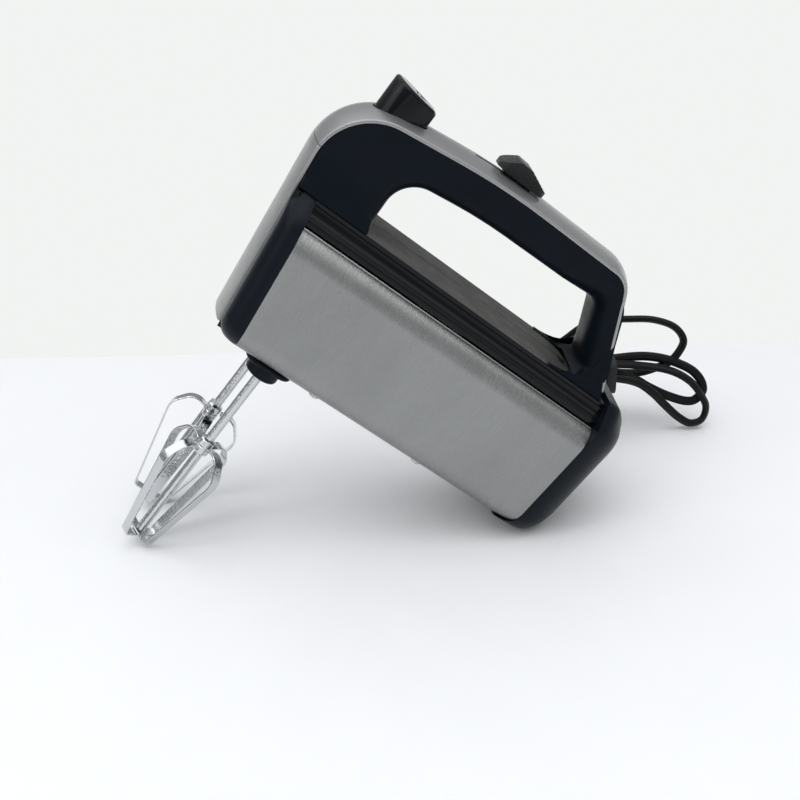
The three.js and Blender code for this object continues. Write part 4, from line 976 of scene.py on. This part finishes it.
cover = make("cover", swept(cover_line, cover_section()))
panel = make("panel", swept(cover_line, cover_section()))
combined(cover, plan(rectangle(-60, 10, -40, 40), -50, COVER_SPLIT_HEIGHT + GAP / 2))
combined(cover, plan(rectangle(BODY_LENGTH - 20, BODY_LENGTH + 20, -40, 40), 0, REAR_CAP_HEIGHT + GAP))
combined(cover, plan(button_outline(0.6), 100, 160))
combined(cover, plan(rectangle(41.4, 72.6, -2.2, 2.2, 1, 15), 120, 150))
for side in (-1, 1):
    for k in range(3):
        mark = rectangle(46.5 + 8 * k, 47.1 + 8 * k, side * 5.2 - 1.1, side * 5.2 + 1.1, 0.25, 20)
        combined(cover, plan(mark, CROWN_TOP - 0.45 - (k == 0) * 0.3, 150))
finished(cover, "housing", silver, ["handle_cover"], 30)
combined(panel, plan(rectangle(-60, 10, -40, 40), -50, COVER_SPLIT_HEIGHT - GAP / 2), "INTERSECT")
panel_outline = rectangle(-COVER_WIDTH, COVER_WIDTH, RECESS_FOOT + GAP, 200, 13, 4)
combined(panel, cross_section(panel_outline, -60, 12), "INTERSECT")
finished(panel, "housing", silver, ["front_panel"], 30)

# ---------------------------------------------------------------- handle

FOOT = DECK_HEIGHT + GAP
POST_FOOT_X = BODY_LENGTH - REAR_POST_DEPTH - 2.5
SKIRT_FRONT = BODY_LENGTH - REAR_POST_DEPTH - 28
OPENING_TURNS = [
    (FRONT_POST_DEPTH - 19, COVER_TOP - GRIP_DEPTH - 8.5, OPENING_FRONT_RADIUS),
    (58, COVER_TOP - GRIP_DEPTH - 3, 250),
    (BODY_LENGTH - REAR_POST_DEPTH - 20, COVER_TOP - GRIP_DEPTH - 1.5, OPENING_REAR_RADIUS),
]
GRIP_EDGE = 6.5
POST_EDGE = 13


def handle_half(z):
    """Half the handle's width at a height: it flares out towards its foot."""
    share = min(1, max(0, (z - FOOT) / 22))
    return COVER_WIDTH / 2 + (DECK_HALF - 0.4 - COVER_WIDTH / 2) * (1 - share) ** 2.2


opening_line = resampled(rounded([
    (FRONT_POST_DEPTH - 19, FOOT), *OPENING_TURNS,
    (POST_FOOT_X + 1, DECK_HEIGHT + 1, 5), (SKIRT_FRONT + 6, DECK_HEIGHT + 0.8),
], closed=False, step=2), 200) + [Vector((SKIRT_FRONT + 6, FOOT))]
into_handle = 1 if offset(opening_line, 1)[100].y > opening_line[100].y else -1
into_cover = 1 if offset(cover_line, 1)[120].y < cover_line[120].y else -1
handle_top = [p for p in offset(cover_line, into_cover * (COVER_FLANK + GAP)) if p.y > FOOT - 1.5]
handle_top = resampled([Vector((p.x, max(p.y, FOOT))) for p in handle_top], len(opening_line))
rings = []
stations = [-1, -0.985, -0.96, -0.92, -0.87, -0.81, -0.74, -0.66, -0.56, -0.42, -0.22]
stations = stations + [0] + [-s for s in reversed(stations)]
for s in stations:
    ring = []
    for p, t in zip(opening_line, tangents(opening_line)):
        half = handle_half(p.y)
        post = min(1, max(0, (p.x - 108) / 22)) * min(1, max(0, (p.y - FOOT - 1.5) / 5))
        edge = (GRIP_EDGE + (POST_EDGE - GRIP_EDGE) * post) * min(1, max(0.03, (p.y - FOOT - 0.8) / 5))
        back = fillet((1 - abs(s)) * half, edge)
        q = p + Vector((-t.y, t.x)) * into_handle * back
        ring.append((q.x, s * half, max(q.y, FOOT)))
    for p in reversed(handle_top):
        half = handle_half(p.y)
        ring.append((p.x, s * (half if abs(s) < 1 else half - 0.25), p.y))
    rings.append(ring)
verts, faces = loft(rings, capped=False)
count, rows = len(opening_line), 9
for ring, side in ((rings[0], -1), (rings[-1], 1)):
    start = len(verts)
    for row in range(rows + 1):
        for k in range(count):
            lower, upper = Vector(ring[k]), Vector(ring[2 * count - 1 - k])
            point = lower.lerp(upper, row / rows)
            if 0 < row < rows:
                point.y = side * (handle_half(point.z) - 0.25 * row / rows)
            verts.append(tuple(point))
    for row in range(rows):
        for k in range(count - 1):
            a = start + row * count + k
            faces.append((a, a + 1, a + count + 1, a + count))
handle = make("handle", (verts, faces))
inside_line = offset(opening_line[:175], into_handle * 2.6)
inside = [(p.x, p.y) for p in inside_line if p.y > FOOT + 3] + [
    (POST_FOOT_X + 4, FOOT + 3), (POST_FOOT_X + 4, FOOT - 6), (BODY_LENGTH + 30, FOOT - 6),
    (BODY_LENGTH + 30, COVER_TOP + 30),
    (-60, COVER_TOP + 30), (-60, FOOT - 6), (FRONT_POST_DEPTH - 21.6, FOOT - 6),
]
combined(handle, side_profile(inside, -9.4, 9.4))
tongue_half, tongue_end = DECK_HALF - 3.5, BODY_LENGTH - REAR_POST_DEPTH - 4
combined(handle, plan(rounded([
    (60, -tongue_half), (tongue_end, -tongue_half, tongue_half * 0.8),
    (tongue_end, tongue_half, tongue_half * 0.8), (60, tongue_half),
], step=4), FOOT - 5, DECK_HEIGHT + 2.2))
finished(handle, "housing", handle_navy, ["handle_frame"], 36)

# ---------------------------------------------------------------- button and slider


def top_of_button(x):
    return 141.7 - (x + 20) * 0.136


def button_ring(grow, height):
    """The button's outline at a height that may depend on x."""
    outline = button_outline(grow, 4)
    return [(p.x, p.y, height(p.x)) for p in resampled(outline + outline[:1], 97)[:-1]]


rings = [
    button_ring(-0.4, lambda x: BUTTON_FOOT),
    button_ring(0, lambda x: BUTTON_FOOT + 0.4),
    button_ring(0, lambda x: COVER_TOP - 6),
]
for grow, sink in ((0, 1.7), (-0.1, 1.15), (-0.45, 0.6), (-0.95, 0.22), (-1.6, 0.03), (-2.4, 0)):
    rings.append(button_ring(grow, lambda x, sink=sink: top_of_button(x) - sink))
button = make("button", loft(rings))
mark = [(4.6, -3.2), (9.0, 0), (4.6, 3.2)]
combined(button, plan(rounded([(x, y, 0.4) for x, y in mark]), 137.35, 150))
combined(button, plan(rectangle(2.2, 3.4, -3.2, 3.2, 0.3), 137.95, 150))
finished(button, "eject", gloss, ["eject_button"], 40)


def coil_spring(foot, top, radius, wire, turns, steps=24, sides=10):
    """A compression spring round Z."""
    count = turns * steps
    rings = []
    for k in range(count + 1):
        angle = 2 * math.pi * k / steps
        out = Vector((math.cos(angle), math.sin(angle), 0))
        centre = out * radius + Vector((0, 0, foot + wire + (top - foot - 2 * wire) * k / count))
        around = [2 * math.pi * a / sides for a in range(sides)]
        rings.append([centre + (out * math.cos(a) + Vector((0, 0, math.sin(a)))) * wire for a in around])
    return loft(rings)


# The spring stands on the deck, under the button's foot.
spring_foot, spring_top = DECK_HEIGHT + 1, BUTTON_FOOT - 1
coil = coil_spring(spring_foot, spring_top, radius=6.6, wire=0.5, turns=5)
spring = make("return_spring", moved(coil, Matrix.Translation((EJECT_ROD_X, 0, 0))))
finished(spring, "housing", spring_wire, ["eject_spring"], 60)
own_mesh(spring)

slider_front = SLIDER_REAR - SLIDER_LENGTH
slider_base = CROWN_TOP + GAP + 0.4
slider_side = rounded([
    (slider_front, slider_base), (SLIDER_REAR, slider_base), (SLIDER_REAR, slider_base + 2.6, 1.2),
    (SLIDER_REAR - 12, slider_base + 7.6, 2.5), (slider_front + 8, slider_base + 7.9, 2.5),
    (slider_front, slider_base + 2.4, 1.2),
])
slider = make("slider", side_profile(slider_side, -8, 8))
slider_plan = rectangle(slider_front, SLIDER_REAR, -7.5, 7.5, 4.5, 4)
combined(slider, plan(slider_plan, slider_base - 1, slider_base + 12), "INTERSECT")
bevelled(slider, 0.7, 3, 40)
for k in range(5):
    x, z = SLIDER_REAR - 10.4 + 2 * k, slider_base + 7.2 - 0.84 * k
    combined(slider, side_profile(circle(x, z, 0.62, 16), -10, 10))
for k in range(6):
    x, z = slider_front + 3.4 + 1.5 * k, slider_base + 5.1 + 1.0 * k
    combined(slider, side_profile(circle(x, z, 0.4, 12), -10, 10))
combined(slider, plan(rectangle(56, 72, -1.7, 1.7), 126.4, slider_base + 1), "UNION")
finished(slider, "slider", ribbed_black, ["speed_slider"], 34)

# ---------------------------------------------------------------- sockets and beaters

flange_edge = SPINDLE_SPACING / 2 + 8.6 + 2
flange_plan = rectangle(SPINDLE_X - 12.5, SPINDLE_X + 12.5, -flange_edge, flange_edge, 7, 4)
flange = make("flange", plan(flange_plan, -GAP - 2.4, -GAP))
bevelled(flange, 0.9, 3, 40)
for y in (-SPINDLE_SPACING / 2, SPINDLE_SPACING / 2):
    boss = [(0, -9.4), (6.3, -9.4), (6.6, -9.25), (6.75, -8.9), (7.0, -8.9), (7.3, -9.2)]
    turns = [k * math.pi / 16 for k in range(1, 9)]
    boss += [(7.3 + 1.3 * math.sin(a), -7.9 - 1.3 * math.cos(a)) for a in turns]
    boss += [(8.6, -3.4), (8.45, -3.2), (8.45, -2.9), (8.6, -2.7), (8.6, -0.5), (0, -0.5)]
    combined(flange, moved(turned(boss, 56), Matrix.Translation((SPINDLE_X, y, 0))), "UNION")
    bore = [(0, -12), (5.9, -12), (5.9, -9.3), (5.3, -8.6), (5.3, 3), (0, 3)]
    combined(flange, moved(turned(bore, 48), Matrix.Translation((SPINDLE_X, y, 0))))
finished(flange, "housing", navy, ["socket_flange"], 34)

SHAFT_RADIUS = SHAFT_DIAMETER / 2
COLLAR = SHAFT_RADIUS + 1.6


def strip_shape(drop):
    half = [
        (COLLAR + 2 * GAP, -CAGE_TOP - drop), (CAGE_RADIUS * 0.62, -CAGE_TOP + 2.5 - drop, 8),
        (CAGE_RADIUS + 0.8, -CAGE_TOP - 9, 9), (CAGE_FOOT_RADIUS, -SHAFT_REACH - 1.2 - drop, 2.2),
    ]
    mirrored = [(-corner[0], *corner[1:]) for corner in reversed(half)]
    line = resampled(rounded(half + mirrored, closed=False, step=3), 220)
    wide, thin = STRIP_WIDTH / 2, STRIP_SHEET / 2
    section = [(wide - 0.14, -thin), (wide, -thin + 0.16), (wide, thin - 0.16), (wide - 0.14, thin)]
    section += [(-a, -b) for a, b in section]
    return swept(line, [(p[0], p[1]) for p in section])


shaft = [
    (0, -SHAFT_REACH), (SHAFT_RADIUS - 0.5, -SHAFT_REACH), (SHAFT_RADIUS, -SHAFT_REACH + 0.5),
    (SHAFT_RADIUS, -CAGE_TOP - 5), (COLLAR - 0.5, -CAGE_TOP - 4.9), (COLLAR - 0.1, -CAGE_TOP - 4.5),
    (COLLAR, -CAGE_TOP - 4.0), (COLLAR, -CAGE_TOP - 1.2), (COLLAR - 0.3, -CAGE_TOP - 0.9),
    (COLLAR - 0.3, -CAGE_TOP - 0.3), (COLLAR, -CAGE_TOP), (COLLAR, -CAGE_TOP + 3.0),
    (COLLAR - 0.4, -CAGE_TOP + 3.5), (SHAFT_RADIUS, -CAGE_TOP + 4), (SHAFT_RADIUS, SHAFT_SEAT - 1),
    (SHAFT_RADIUS - 0.8, SHAFT_SEAT), (0, SHAFT_SEAT),
]
beaters = (
    ("near", -SPINDLE_SPACING / 2, NEAR_BEATER_TURN),
    ("far", SPINDLE_SPACING / 2, FAR_BEATER_TURN),
)
for name, y, turn in beaters:
    stand = Matrix.Translation((SPINDLE_X, y, 0))
    rod = make(name + "_shaft", moved(turned(shaft, 44), stand))
    finished(rod, name + "_beater", chrome, [name + "_beater_shaft"], 34)
    for letter, angle, drop in (("a", -turn, 0), ("b", 90 - turn, STRIP_SHEET + GAP)):
        place = stand @ Matrix.Rotation(math.radians(angle), 4, "Z")
        strip = make(f"{name}_loop_{letter}", moved(strip_shape(drop), place))
        finished(strip, name + "_beater", chrome, [f"{name}_beater_strip_{letter}"], 40)
